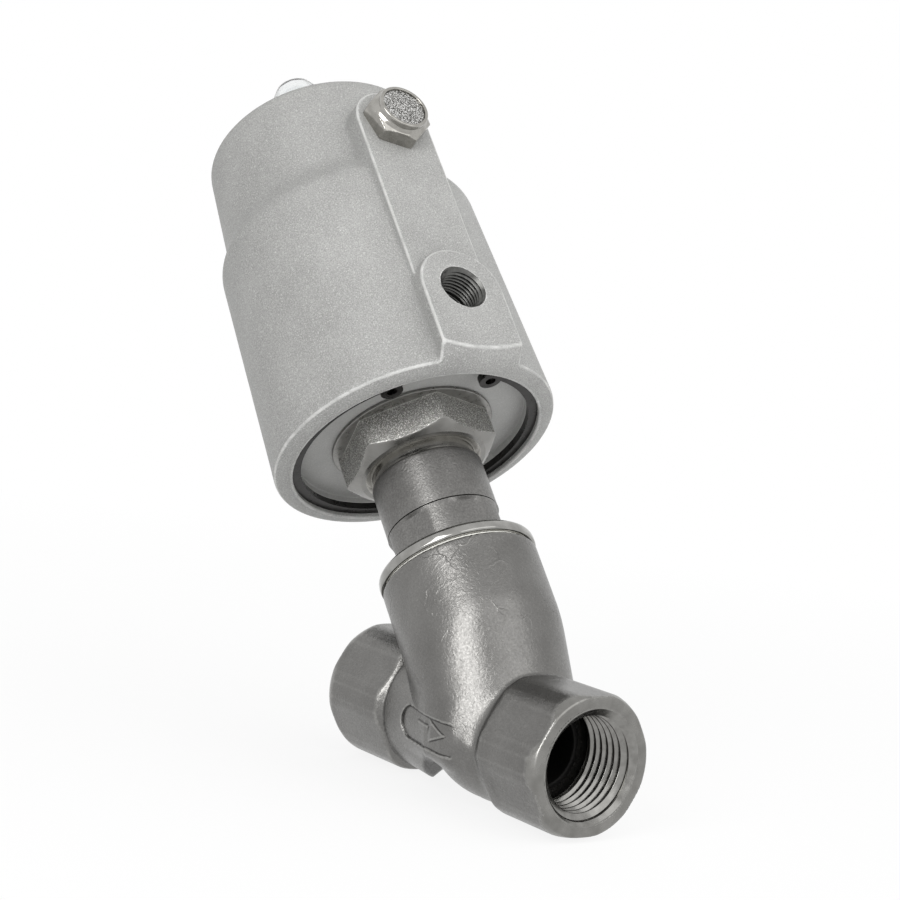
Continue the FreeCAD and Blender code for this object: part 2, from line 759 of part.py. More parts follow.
def seat_seal():
    return tube(SEAL_R, STEM_END_R + FIT_CLEARANCE, SEAT_PLANE, SEAT_PLANE + SEAL_THICKNESS)


def seal_washer():
    low = SEAT_PLANE - SEAL_WASHER_THICKNESS
    return tube(SEAL_WASHER_R, STEM_END_R + FIT_CLEARANCE, low, SEAT_PLANE)


def disc_nut():
    high = SEAT_PLANE - SEAL_WASHER_THICKNESS
    low = high - DISC_NUT_HEIGHT
    nut = turned_hexagon(DISC_NUT_FLATS, low, high, DISC_NUT_FLATS / 2, DISC_NUT_FLATS / 2)
    return nut.cut(rod(STEM_END_R + FIT_CLEARANCE, low, high))


def piston():
    outer = BORE_R - PISTON_CLEARANCE
    inner = outer - PISTON_WALL
    band = PISTON_BASE + BAND_SETBACK
    seal = PISTON_TOP - SEAL_SETBACK - SEAL_GROOVE_WIDTH
    return revolve([
        (STEM_END_R + FIT_CLEARANCE, PISTON_BASE),
        (outer, PISTON_BASE),
        (outer, band),
        (outer - BAND_GROOVE_DEPTH, band),
        (outer - BAND_GROOVE_DEPTH, band + BAND_GROOVE_WIDTH),
        (outer, band + BAND_GROOVE_WIDTH),
        (outer, seal),
        (outer - SEAL_GROOVE_DEPTH, seal),
        (outer - SEAL_GROOVE_DEPTH, seal + SEAL_GROOVE_WIDTH),
        (outer, seal + SEAL_GROOVE_WIDTH),
        (outer, PISTON_TOP),
        (inner, PISTON_TOP),
        (inner, WEB_TOP),
        (STEM_END_R + FIT_CLEARANCE, WEB_TOP),
    ])


def piston_guide_band():
    low = PISTON_BASE + BAND_SETBACK + FIT_CLEARANCE
    high = low + BAND_GROOVE_WIDTH - 2 * FIT_CLEARANCE
    inner = BORE_R - PISTON_CLEARANCE - BAND_GROOVE_DEPTH + FIT_CLEARANCE
    return tube(BORE_R - RUNNING_CLEARANCE, inner, low, high)


def piston_seal():
    # A lip seal whose two lips open towards the air side.
    low = PISTON_TOP - SEAL_SETBACK - SEAL_GROOVE_WIDTH + FIT_CLEARANCE
    high = low + SEAL_GROOVE_WIDTH - 2 * FIT_CLEARANCE
    outer = BORE_R - RUNNING_CLEARANCE
    inner = BORE_R - PISTON_CLEARANCE - SEAL_GROOVE_DEPTH + FIT_CLEARANCE
    middle = (outer + inner) / 2
    return revolve([
        (inner, low),
        (middle, low + SEAL_GROOVE_WIDTH / 3),
        (outer, low),
        (outer, high),
        (inner, high),
    ])


def piston_washer():
    inner = STEM_END_R + FIT_CLEARANCE
    return tube(PISTON_WASHER_R, inner, WEB_TOP, WEB_TOP + PISTON_WASHER_THICKNESS)


def piston_nut():
    low = WEB_TOP + PISTON_WASHER_THICKNESS
    high = low + PISTON_NUT_HEIGHT
    turned = PISTON_NUT_FLATS / 2
    nut = turned_hexagon(PISTON_NUT_FLATS, low, high, turned, turned)
    return nut.cut(rod(STEM_END_R + FIT_CLEARANCE, low, high))


def indicator_pin():
    low = WEB_TOP + PISTON_WASHER_THICKNESS + PISTON_NUT_HEIGHT + PISTON_STUD_PROUD
    high = HOUSING_TOP + CAP_HEIGHT - CAP_WALL - STROKE - PIN_GAP
    return revolve([
        (0, low),
        (STEM_END_R, low),
        (STEM_END_R, low + PIN_FOOT),
        (PIN_R, low + PIN_FOOT),
        (PIN_R, high - PIN_R / 2),
        (PIN_R / 2, high),
        (0, high),
    ])


save("body_casting", body_casting())
save_leant("bonnet", bonnet())
save_leant("bonnet_gasket", bonnet_gasket())
save_leant("lower_guide_bush", lower_guide_bush())
save_leant("packing_rings", packing_rings())
save_leant("packing_follower", packing_follower())
save_leant("disc_springs", disc_springs())
save_leant("gland_bush", gland_bush())
save_leant("lock_nut", lock_nut())
save_leant("lock_washer", lock_washer())
save_leant("bottom_cover", bottom_cover())
save_leant("cover_seal", cover_seal())
save_leant("rod_bush", rod_bush())
save_leant("rod_seal", rod_seal())
save_actuator("retaining_ring", retaining_ring())
save_actuator("actuator_housing", actuator_housing())
silencer, mesh = silencer_parts()
save_actuator("silencer_body", on_rib(silencer))
save_actuator("silencer_mesh", on_rib(mesh))
save_actuator("sight_cap", sight_cap())
save_actuator("cap_seal", cap_seal())
save_leant("stem", stem())
save_leant("disc_holder", disc_holder())
save_leant("seat_seal", seat_seal())
save_leant("seal_washer", seal_washer())
save_leant("disc_nut", disc_nut())
save_leant("piston", piston())
save_leant("piston_guide_band", piston_guide_band())
save_leant("piston_seal", piston_seal())
save_leant("piston_washer", piston_washer())
save_leant("piston_nut", piston_nut())
save_leant("indicator_pin", indicator_pin())
save_leant("closing_spring", coil(
    SPRING_MEAN_R, SPRING_WIRE_WIDTH, SPRING_WIRE_HEIGHT, WEB_TOP, SPRING_TOP, SPRING_TURNS))
save_leant("inner_spring", coil(
    INNER_MEAN_R, INNER_WIRE_WIDTH, INNER_WIRE_HEIGHT, WEB_TOP, SPRING_TOP, INNER_TURNS))
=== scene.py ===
import math

import bmesh
import bpy
import numpy as np
from mathutils import Euler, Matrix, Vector


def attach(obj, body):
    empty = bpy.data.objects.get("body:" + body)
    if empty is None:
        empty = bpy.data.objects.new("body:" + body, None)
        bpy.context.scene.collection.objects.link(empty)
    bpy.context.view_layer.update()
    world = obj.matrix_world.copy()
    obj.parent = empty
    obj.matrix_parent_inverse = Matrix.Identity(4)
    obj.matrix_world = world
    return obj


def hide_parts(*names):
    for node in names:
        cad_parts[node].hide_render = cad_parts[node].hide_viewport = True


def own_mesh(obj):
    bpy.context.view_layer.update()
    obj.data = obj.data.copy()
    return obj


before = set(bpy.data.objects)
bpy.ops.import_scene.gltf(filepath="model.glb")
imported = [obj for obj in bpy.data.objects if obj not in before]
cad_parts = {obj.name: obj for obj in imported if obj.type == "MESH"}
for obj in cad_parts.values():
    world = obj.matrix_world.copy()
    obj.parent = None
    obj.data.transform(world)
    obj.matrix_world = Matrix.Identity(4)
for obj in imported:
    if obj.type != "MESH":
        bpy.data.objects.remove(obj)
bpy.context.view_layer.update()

# Everything is drawn in millimetres and scaled to metres when a mesh is made.
mm = 0.001

# Where the two axes cross and how the stem leans, as in the solids.
layout = {
    "lean": 49.0,
    "outletReach": 23.0,
    "inletReach": 47.0,
    "actuatorTurn": -4.5,
}

lean = math.radians(layout["lean"])
pipeDir = np.array([1.0, 0.0, 0.0])
sideDir = np.array([0.0, 1.0, 0.0])
upDir = np.array([0.0, 0.0, 1.0])
stemDir = np.array([-math.cos(lean), 0.0, math.sin(lean)])
stemFront = np.array([math.sin(lean), 0.0, math.cos(lean)])
crossing = np.array([-layout["outletReach"], 0.0, 0.0])

turned = math.radians(layout["actuatorTurn"])
ribDir = math.cos(turned) * stemFront + math.sin(turned) * sideDir
ribSide = np.cross(stemDir, ribDir)


# Places: the origin, x, y and z of each piece's own axes.
pipePlace = (crossing, pipeDir, sideDir, upDir)
stemPlace = (crossing, stemFront, sideDir, stemDir)
actuatorPlace = (crossing, ribDir, ribSide, stemDir)


def toWorld(points, place):
    origin, x, y, z = place
    points = np.asarray(points, float)
    return (origin + points[..., :1] * x + points[..., 1:2] * y + points[..., 2:3] * z) * mm


def newObject(name, mesh, body, replaced=()):
    obj = bpy.data.objects.new(name, mesh)
    bpy.context.scene.collection.objects.link(obj)
    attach(obj, body)
    if replaced:
        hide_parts(*replaced)
    return obj


def dress(obj, *metals):
    for metal in metals:
        obj.data.materials.append(metal)


def tidyMesh(mesh, sharp=35.0):
    work = bmesh.new()
    work.from_mesh(mesh)
    bmesh.ops.remove_doubles(work, verts=work.verts, dist=1e-8)
    bmesh.ops.dissolve_degenerate(work, edges=work.edges, dist=1e-9)
    bmesh.ops.recalc_face_normals(work, faces=work.faces)
    work.to_mesh(mesh)
    work.free()
    mesh.shade_smooth()
    if sharp:
        mesh.set_sharp_from_angle(angle=math.radians(sharp))


def roundedOutline(corners, steps=5):
    # corners are (radius, height) or (radius, height, rounding)
    points = []
    count = len(corners)
    for i, corner in enumerate(corners):
        here = np.array(corner[:2], float)
        size = corner[2] if len(corner) > 2 else 0.0
        before = np.array(corners[i - 1][:2], float) - here
        after = np.array(corners[(i + 1) % count][:2], float) - here
        if not size or not before.any() or not after.any():
            points.append(here)
            continue
        before /= np.linalg.norm(before)
        after /= np.linalg.norm(after)
        half = math.acos(max(-1.0, min(1.0, float(before @ after)))) / 2
        if half > math.radians(89):
            points.append(here)
            continue
        reach = size / math.tan(half)
        start = here + before * reach
        end = here + after * reach
        middle = here + (before + after) / np.linalg.norm(before + after) * size / math.sin(half)
        u = start - middle
        w = end - middle
        sweep = math.acos(max(-1.0, min(1.0, float(u @ w) / size / size)))
        for k in range(steps + 1):
            t = k / steps
            arc = u * math.sin((1 - t) * sweep) + w * math.sin(t * sweep)
            points.append(middle + arc / math.sin(sweep))
    return points


def lathe(name, corners, place, body, replaced=(), angles=None, warp=None,
          closed=True, slotOf=None, sharp=35.0, extraRows=0.0):
    # Spins a rounded outline about the place's z axis; warp can pull the radius in.
    outline = roundedOutline(corners)
    if extraRows:
        outline = splitRows(outline, extraRows, closed)
    angles = np.radians(np.arange(0, 360, 2.0) if angles is None else angles)
    rows = []
    for radius, height in outline:
        radii = np.full(len(angles), float(radius))
        if warp:
            radii = warp(radii, height, angles)
        heights = np.full(len(angles), height)
        rows.append(np.stack([radii * np.cos(angles), radii * np.sin(angles), heights], -1))
    grid = toWorld(np.array(rows), place)
    return gridObject(name, grid, body, replaced, closed, outline, slotOf, sharp)


def splitRows(outline, longest, closed):
    result = []
    count = len(outline)
    for i in range(count):
        here = np.array(outline[i])
        result.append(here)
        if i == count - 1 and not closed:
            break
        there = np.array(outline[(i + 1) % count])
        parts = max(1, int(math.ceil(np.linalg.norm(there - here) / longest)))
        for k in range(1, parts):
            result.append(here + (there - here) * k / parts)
    return result


def gridObject(name, grid, body, replaced, closed, outline=None, slotOf=None, sharp=35.0):
    rowCount, columnCount = grid.shape[:2]
    faces = []
    marks = []
    for i in range(rowCount if closed else rowCount - 1):
        j = (i + 1) % rowCount
        mark = 0
        if slotOf:
            mark = slotOf(*((np.array(outline[i]) + np.array(outline[j])) / 2))
        for k in range(columnCount):
            m = (k + 1) % columnCount
            faces.append((i * columnCount + k, i * columnCount + m,
                          j * columnCount + m, j * columnCount + k))
            marks.append(mark)
    mesh = bpy.data.meshes.new(name)
    mesh.from_pydata(grid.reshape(-1, 3).tolist(), [], faces)
    mesh.polygons.foreach_set("material_index", marks)
    tidyMesh(mesh, sharp)
    return newObject(name, mesh, body, replaced)


def cornerAngles(turn, sides=6, fine=0.35, coarse=3.0, near=3.0):
    # Columns packed round each corner of a hexagon, sparse on its flats.
    step = 360.0 / sides
    result = []
    for i in range(sides):
        middle = turn + i * step
        t = -near
        while t < near:
            result.append(middle + t)
            t += fine
        t = near
        while t < step - near - 0.01:
            result.append(middle + t)
            t += coarse
    return np.array(result)


def hexRadius(angles, flats, rounding, turn):
    # Distance to a hexagon with rounded corners, one of which points along turn.
    apothem = flats / 2
    t = np.mod(angles - math.radians(turn) + math.pi / 6, math.pi / 3) - math.pi / 6
    t = math.pi / 6 - np.abs(t)
    flat = apothem / np.cos(t)
    centre = (apothem - rounding) / math.cos(math.pi / 6)
    away = math.pi / 6 - t
    inside = np.maximum(rounding ** 2 - (centre * np.sin(away)) ** 2, 0)
    arc = centre * np.cos(away) + np.sqrt(inside)
    limit = math.atan((apothem - rounding) * math.tan(math.pi / 6) / apothem)
    return np.where(t < limit, flat, arc)


def roundMax(a, b, radius):
    u = np.maximum(a + radius, 0)
    v = np.maximum(b + radius, 0)
    return np.minimum(np.maximum(a, b), -radius) + np.hypot(u, v)


def roundMin(a, b, radius):
    return -roundMax(-a, -b, radius)


def softMax(a, b, width):
    h = np.clip(0.5 + 0.5 * (a - b) / width, 0, 1)
    return b + (a - b) * h + width * h * (1 - h)


def pullOnto(points, field, step):
    # Newton steps along the field's slope bring each point onto its surface.
    reach = step * 0.2
    for _ in range(4):
        value = field(points[:, 0], points[:, 1], points[:, 2])
        slope = np.stack([
            field(*(points + reach * np.eye(3)[i]).T) - field(*(points - reach * np.eye(3)[i]).T)
            for i in range(3)
        ], 1) / (2 * reach)
        size = np.maximum((slope ** 2).sum(1), 0.05)
        move = -(value / size)[:, None] * slope
        far = np.linalg.norm(move, axis=1, keepdims=True)
        points = points + move * np.minimum(1.0, 0.5 * step / np.maximum(far, 1e-9))
    return points


def refined(points, faces, field, step, boxes):
    # Splits the faces inside each box (low corner, high corner, cuts), then pulls them onto the surface.
    work = bmesh.new()
    verts = [work.verts.new(p) for p in points]
    for face in faces:
        work.faces.new([verts[i] for i in face])
    for low, high, cuts in boxes:
        low, high = np.array(low), np.array(high)
        edges = set()
        for face in work.faces:
            middle = np.array(face.calc_center_median())
            if (middle > low).all() and (middle < high).all():
                edges.update(face.edges)
        bmesh.ops.subdivide_edges(work, edges=list(edges), cuts=cuts, use_grid_fill=True)
    work.verts.index_update()
    points = pullOnto(np.array([v.co for v in work.verts]), field, step / 3)
    faces = [[v.index for v in face.verts] for face in work.faces]
    work.free()
    return points, faces


def bendOf(points, field, reach=0.35):
    # How sharply the surface turns: above 0 on outer edges, below 0 in inner corners.
    around = sum(field(*(points + sign * reach * np.eye(3)[i]).T)
                 for i in range(3) for sign in (1, -1))
    return (around - 6 * field(*points.T)) / reach


def fieldObject(name, field, low, high, step, place, body, replaced=(), finer=(),
                finishOf=None, masks=None):
    # Walks a grid through the field and joins one point of each crossed cell into quads.
    axes = [np.arange(low[i], high[i] + step, step, dtype=np.float32) for i in range(3)]
    values = field(*np.meshgrid(*axes, indexing="ij"))
    inside = values < 0
    cells = np.array(values.shape) - 1
    total = np.zeros((int(np.prod(cells)), 3))
    hits = np.zeros(int(np.prod(cells)))
    quads = []
    for d in range(3):
        u, w = (d + 1) % 3, (d + 2) % 3
        near = [slice(None)] * 3
        far = [slice(None)] * 3
        near[d] = slice(0, -1)
        far[d] = slice(1, None)
        crossed = inside[tuple(near)] != inside[tuple(far)]
        at = np.argwhere(crossed)
        keep = (at[:, u] > 0) & (at[:, w] > 0) & (at[:, u] < cells[u]) & (at[:, w] < cells[w])
        at = at[keep]
        beyond = at.copy()
        beyond[:, d] += 1
        first = values[tuple(at.T)]
        second = values[tuple(beyond.T)]
        spot = at.astype(float)
        spot[:, d] += first / (first - second)
        around = []
        for du, dw in ((0, 0), (1, 0), (1, 1), (0, 1)):
            cell = at.copy()
            cell[:, u] -= du
            cell[:, w] -= dw
            index = np.ravel_multi_index(tuple(cell.T), tuple(cells))
            np.add.at(total, index, spot)
            np.add.at(hits, index, 1)
            around.append(index)
        quad = np.stack(around, 1)
        flip = first < 0
        quad[flip] = quad[flip][:, ::-1]
        quads.append(quad)
    quads = np.concatenate(quads)
    used, faces = np.unique(quads, return_inverse=True)
    faces = faces.reshape(quads.shape)
    points = total[used] / hits[used][:, None] * step + np.array(low)
    points = pullOnto(points, field, step)
    faces = faces.tolist()
    if finer:
        points, faces = refined(points, faces, field, step, finer)
    mesh = bpy.data.meshes.new(name)
    mesh.from_pydata(toWorld(points, place).tolist(), [], faces)
    if finishOf:
        middles = np.array([np.mean(points[face], axis=0) for face in faces])
        mesh.polygons.foreach_set("material_index", finishOf(*middles.T).astype(np.int32))
    marks = {"bend": bendOf(points, field)}
    for mask, maskOf in (masks or {}).items():
        marks[mask] = maskOf(*points.T)
    for mark, values in marks.items():
        mesh.attributes.new(mark, "FLOAT", "POINT").data.foreach_set("value", values.astype(np.float32))
    mesh.validate()
    mesh.shade_smooth()
    print(name, "has", len(mesh.polygons), "faces")
    return newObject(name, mesh, body, replaced)


def linear(code):
    # sRGB hex to the linear values that the nodes want.
    parts = [int(code[i:i + 2], 16) / 255 for i in (1, 3, 5)]
    return tuple(p / 12.92 if p <= 0.04045 else ((p + 0.055) / 1.055) ** 2.4 for p in parts) + (1.0,)


def addNode(tree, kind, inputs=None, **settings):
    # One node, its settings, and each input: a value, an output, or a node for its first live output.
    node = tree.nodes.new("ShaderNode" + kind)
    for key, value in settings.items():
        setattr(node, key, value)
    for key, value in (inputs or {}).items():
        if isinstance(value, bpy.types.Node):
            value = next(output for output in value.outputs if output.enabled)
        if isinstance(value, bpy.types.NodeSocket):
            tree.links.new(value, node.inputs[key])
        else:
            node.inputs[key].default_value = value
    return node


def startMaterial(name):
    material = bpy.data.materials.new(name)
    material.use_nodes = True
    tree = material.node_tree
    tree.nodes.clear()
    where = addNode(tree, "TexCoord").outputs["Object"]
    return material, tree, where


def grainMetal(name, look):
    # A blasted or cast metal: dense fine grit, slow blotches, sparse painted glints, painted highlights
    # on outer edges and painted shade in inner corners.
    material, tree, where = startMaterial(name)
    grit = addNode(tree, "TexNoise", {
        "Vector": where, "Scale": 1 / (look["gritSize"] * mm), "Detail": 2.0, "Roughness": 0.7})
    blotch = addNode(tree, "TexNoise", {
        "Vector": where, "Scale": 1 / (look["blotchSize"] * mm), "Detail": 4.0, "Roughness": 0.55})
    swell = addNode(tree, "TexNoise", {
        "Vector": where, "Scale": 1 / (look["swellSize"] * mm), "Detail": 3.0, "Roughness": 0.55,
        "Distortion": 1.2})
    cloudy = addNode(tree, "MapRange", {"Value": blotch, "From Min": 0.3, "From Max": 0.7})
    tone = addNode(tree, "Mix", {
        "Factor": cloudy, "A": linear(look["dark"]), "B": linear(look["light"])}, data_type="RGBA")
    grain = addNode(tree, "MapRange", {
        "Value": grit, "From Min": 0.35, "From Max": 0.65,
        "To Min": 1 - look["grain"], "To Max": 1 + look["grain"]})
    grained = addNode(tree, "Mix", {
        "Factor": 1.0, "A": tone, "B": grain}, data_type="RGBA", blend_type="MULTIPLY")
    # painted glints: bright specks in the colour where the grit noise peaks, a painted sparkle
    paintedGlint = addNode(tree, "MapRange", {
        "Value": grit, "From Min": look["paintedGlintFrom"], "From Max": look["paintedGlintFrom"] + 0.06,
        "To Max": look["paintedGlint"]})
    bend = addNode(tree, "Attribute", attribute_name="bend").outputs["Fac"]
    if look.get("lathed"):
        bend = addNode(tree, "MapRange", {
            "Value": addNode(tree, "NewGeometry").outputs["Pointiness"],
            "From Min": 0.42, "From Max": 0.58, "To Min": -1.0, "To Max": 1.0})
    # painted highlight: outer edges, where the surface bends outwards, are lightened in the colour
    edgeHighlight = addNode(tree, "MapRange", {
        "Value": bend, "From Min": look["edgeFrom"], "From Max": look["edgeAt"], "To Max": look["edge"]})
    uneven = addNode(tree, "MapRange", {
        "Value": swell, "From Min": 0.35, "From Max": 0.65, "To Min": 0.35})
    edgeHighlight = addNode(tree, "Math", {0: edgeHighlight, 1: uneven}, operation="MULTIPLY")
    # painted shade: inner corners, where the surface bends inwards, are darkened in the colour
    cornerShade = addNode(tree, "MapRange", {
        "Value": bend, "From Min": -0.8, "From Max": -0.25, "To Min": look["cornerShade"], "To Max": 0.0})
    # painted shade on the step under the casting's hub, read from its mask
    stepShadeMask = addNode(tree, "Attribute", attribute_name="stepShade")
    cornerShade = addNode(tree, "Math", {0: cornerShade, 1: stepShadeMask.outputs["Fac"]}, operation="MAXIMUM")
    # painted glints, painted edge highlights and painted corner shade lie over the grained ground in that
    # order
    paintedLightColor = grained
    for cover, color in ((paintedGlint, "paintedGlintColor"), (edgeHighlight, "edgeHighlightColor"), (cornerShade, "cornerShadeColor")):
        paintedLightColor = addNode(tree, "Mix", {
            "Factor": cover, "A": paintedLightColor, "B": linear(look[color])}, data_type="RGBA")
    rough = addNode(tree, "MapRange", {
        "Value": grit, "From Min": 0.35, "From Max": 0.65,
        "To Min": look["rough"] + look["roughSpread"], "To Max": look["rough"] - look["roughSpread"]})
    normal = addNode(tree, "Bump", {
        "Height": swell, "Strength": 1.0, "Distance": look["swellHeight"] * mm})
    if look.get("lineHeight"):
        # mould lines: the edges of a bent cell pattern, kept in patches and on the neck alone
        bent = addNode(tree, "TexNoise", {
            "Vector": where, "Scale": 1 / (look["bentSize"] * mm), "Detail": 2.0})
        shift = addNode(tree, "VectorMath", {
            0: bent.outputs["Color"], 1: (look["bentBy"] * mm,) * 3}, operation="MULTIPLY")
        moved = addNode(tree, "VectorMath", {0: where, 1: shift}, operation="ADD")
        cells = addNode(tree, "TexVoronoi", {
            "Vector": moved, "Scale": 1 / (look["lineSize"] * mm)},
            feature="DISTANCE_TO_EDGE")
        line = addNode(tree, "MapRange", {
            "Value": cells, "From Max": look["lineWidth"] / look["lineSize"],
            "To Min": 1.0, "To Max": 0.0})
        spread = addNode(tree, "TexNoise", {
            "Vector": where, "Scale": 1 / (look["patchSize"] * mm), "Detail": 1.0})
        patch = addNode(tree, "MapRange", {
            "Value": spread, "From Min": 0.45, "From Max": 0.58})
        onNeck = addNode(tree, "Attribute", attribute_name="neckSkin")
        kept = addNode(tree, "Math", {0: line, 1: patch}, operation="MULTIPLY")
        kept = addNode(tree, "Math", {0: kept, 1: onNeck.outputs["Fac"]}, operation="MULTIPLY")
        normal = addNode(tree, "Bump", {
            "Height": kept, "Strength": 1.0, "Distance": look["lineHeight"] * mm, "Normal": normal})
    fine = addNode(tree, "Bump", {
        "Height": grit, "Strength": 1.0, "Distance": look["gritHeight"] * mm, "Normal": normal})
    shader = addNode(tree, "BsdfPrincipled", {
        "Base Color": paintedLightColor, "Roughness": rough,
        "Metallic": look["metallic"], "Normal": fine})
    addNode(tree, "OutputMaterial", {"Surface": shader})
    return material


# Cast aluminium, blasted and given a thin silver lacquer: an even pale grey with a fine painted glint,
# painted highlights on its edges and painted shade in its inner corners. The real grit is near 0.1 mm;
# 0.28 mm is the finest that still shows.
housingLook = {
    "light": "#9e9e9c", "dark": "#929290", "grain": 0.2,
    "paintedGlintColor": "#e4e4e2", "paintedGlint": 0.5, "paintedGlintFrom": 0.64,
    "edge": 0.6, "edgeFrom": 0.2, "edgeAt": 0.6, "edgeHighlightColor": "#d8d8d6",
    "cornerShade": 0.25, "cornerShadeColor": "#5c5c5a", "gritSize": 0.28, "gritHeight": 0.03,
    "blotchSize": 14.0, "swellSize": 5.0, "swellHeight": 0.03,
    "rough": 0.55, "roughSpread": 0.12, "metallic": 0.12,
}
# Stainless steel, investment cast and bead blasted: soft satin, a finely wrinkled skin, long thin
# mould lines on the neck, bent by up to 3.5 mm.
# Its sparkle, bright edges and near-black inner corners are painted glints, painted highlights and
# painted shade.
castingLook = {
    "light": "#7c7b79", "dark": "#6f6e6c", "grain": 0.08,
    "paintedGlintColor": "#a2a19e", "paintedGlint": 0.12, "paintedGlintFrom": 0.64,
    "edge": 0.5, "edgeFrom": 0.2, "edgeAt": 0.8, "edgeHighlightColor": "#b2b1ae",
    "cornerShade": 0.7, "cornerShadeColor": "#1c1b1a", "gritSize": 0.4, "gritHeight": 0.014,
    "blotchSize": 9.0, "swellSize": 0.9, "swellHeight": 0.075,
    "lineSize": 9.0, "lineHeight": 0.06, "lineWidth": 0.25,
    "bentSize": 3.0, "bentBy": 3.5, "patchSize": 8.0,
    "rough": 0.32, "roughSpread": 0.05, "metallic": 1.0,
}
# The same steel on the bonnet's barrel, turned and then blasted: satin with a fine wrinkled grain.
barrelLook = dict(castingLook, light="#7d7c7a", dark="#6e6d6b", gritHeight=0.03, grain=0.16,
                  swellHeight=0.05, rough=0.36, edge=0, cornerShade=0, lineHeight=0, lathed=True)
# Zinc-plated steel nut, its flats rough from forging: mid grey, with painted glints that show most where
# it faces the lamp, and painted highlights on its edges.
nutLook = dict(castingLook, light="#969592", dark="#84837f", grain=0.3, paintedGlintColor="#f0f0ec",
               paintedGlint=0.8, paintedGlintFrom=0.55, gritSize=0.24, gritHeight=0.07, rough=0.42, roughSpread=0.12,
               swellSize=1.5, swellHeight=0.08, metallic=0.75, lineHeight=0,
               edge=0.8, edgeFrom=0.1, edgeAt=0.6, edgeHighlightColor="#e8e8e4", cornerShade=0, lathed=True)
# Sintered wire of the silencer: painted glints on bright grains and painted shade in dark gaps, drawn at
# 0.3 mm to be seen at all.
weaveLook = dict(castingLook, light="#8c8b88", dark="#7a7976", grain=0.9, paintedGlintColor="#f0f0ee",
                 paintedGlint=0.9, paintedGlintFrom=0.52, gritSize=0.3, gritHeight=0.12, rough=0.3,
                 lineHeight=0, edge=0, cornerShade=0, lathed=True)
# Matt cast aluminium of the bottom cover and the piston: pale, nearly even, with faint painted glints and
# painted highlights on its edges.
coverLook = dict(housingLook, light="#a6a6a4", dark="#9a9a98", gritHeight=0.02, paintedGlint=0.2, grain=0.06,
                 rough=0.5, edge=0.5, edgeHighlightColor="#c8c8c6", cornerShade=0, lathed=True)


def turnedMetal(name, look, axis):
    # A machined metal: fine lines round the axis, from the tool, on a smooth bright ground.
    material, tree, where = startMaterial(name)
    along = addNode(tree, "VectorMath", {0: where, 1: tuple(axis)}, operation="DOT_PRODUCT")
    lines = addNode(tree, "TexNoise", {
        "W": along, "Scale": 1 / (look["lineSize"] * mm), "Detail": 3.0},
        noise_dimensions="1D")
    smear = addNode(tree, "TexNoise", {
        "Vector": where, "Scale": 1 / (look["smearSize"] * mm), "Detail": 3.0})
    cloudy = addNode(tree, "MapRange", {"Value": smear, "From Min": 0.35, "From Max": 0.65})
    tone = addNode(tree, "Mix", {
        "Factor": cloudy, "A": linear(look["dark"]), "B": linear(look["light"])}, data_type="RGBA")
    rough = addNode(tree, "MapRange", {
        "Value": smear, "From Min": 0.3, "From Max": 0.7,
        "To Min": look["rough"] * 0.8, "To Max": look["rough"] * 1.25})
    bump = addNode(tree, "Bump", {
        "Height": lines, "Strength": 1.0, "Distance": look["lineHeight"] * mm})
    shader = addNode(tree, "BsdfPrincipled", {
        "Base Color": tone, "Roughness": rough,
        "Metallic": 1.0, "Normal": bump})
    addNode(tree, "OutputMaterial", {"Surface": shader})
    return material


# Polished stainless of the bonnet's flange and collar and of the stem: near mirror, faint tool lines.
polishedLook = {"light": "#a3a29f", "dark": "#908f8c", "lineSize": 0.3, "lineHeight": 0.0015,
                "smearSize": 3.0, "rough": 0.12}
# Machined port faces and threads: bright but broken up by the tool.
machinedLook = {"light": "#8b8a87", "dark": "#7a7976", "lineSize": 0.25, "lineHeight": 0.005,
                "smearSize": 4.0, "rough": 0.24}
# Freshly cut threads: bright crests that catch the lamp, smooth flanks.
threadLook = {"light": "#8e8d8a", "dark": "#7d7c79", "lineSize": 0.2, "lineHeight": 0.002,
              "smearSize": 1.5, "rough": 0.2}
# Drilled and tapped aluminium, dull with swarf and oil.
drilledLook = {"light": "#6b6b69", "dark": "#585856", "lineSize": 0.2, "lineHeight": 0.003,
               "smearSize": 1.5, "rough": 0.35}
# The casting's skin inside, drawn dark as painted shade.
insideShadeLook = dict(castingLook, light="#3b3a39", dark="#2c2b2a", paintedGlintColor="#4a4948",
                  edgeHighlightColor="#4a4948", rough=0.7)
# Rolled washer steel: smooth, a little dull. The springs are the same, only darker; the ring is near
# black as painted shade of its recess.
washerLook = {"light": "#8f8e8b", "dark": "#7c7b78", "lineSize": 0.5, "lineHeight": 0.003,
              "smearSize": 2.0, "rough": 0.3}
# Nickel-plated brass of the silencer: warm grey, bright and glossy.
nickelLook = {"light": "#a9a7a2", "dark": "#96948f", "lineSize": 0.3, "lineHeight": 0.003,
              "smearSize": 2.0, "rough": 0.14}


def mouldedPlastic(name, look):
    # Moulded plastic or rubber: fine texture and a slight cloudiness, no metal.
    material, tree, where = startMaterial(name)
    grain = addNode(tree, "TexNoise", {
        "Vector": where, "Scale": 1 / (look["grainSize"] * mm), "Detail": 3.0})
    tone = addNode(tree, "Mix", {
        "Factor": grain, "A": linear(look["dark"]), "B": linear(look["light"])}, data_type="RGBA")
    bump = addNode(tree, "Bump", {
        "Height": grain, "Strength": 1.0, "Distance": look["grainHeight"] * mm})
    shader = addNode(tree, "BsdfPrincipled", {
        "Base Color": tone, "Roughness": look["rough"], "IOR": look["ior"],
        "Normal": bump})
    addNode(tree, "OutputMaterial", {"Surface": shader})
    return material


# Seal rubber: black and matt.
rubberLook = {"light": "#1d1d1d", "dark": "#141414", "grainSize": 0.5, "grainHeight": 0.01,
              "rough": 0.6, "ior": 1.52}
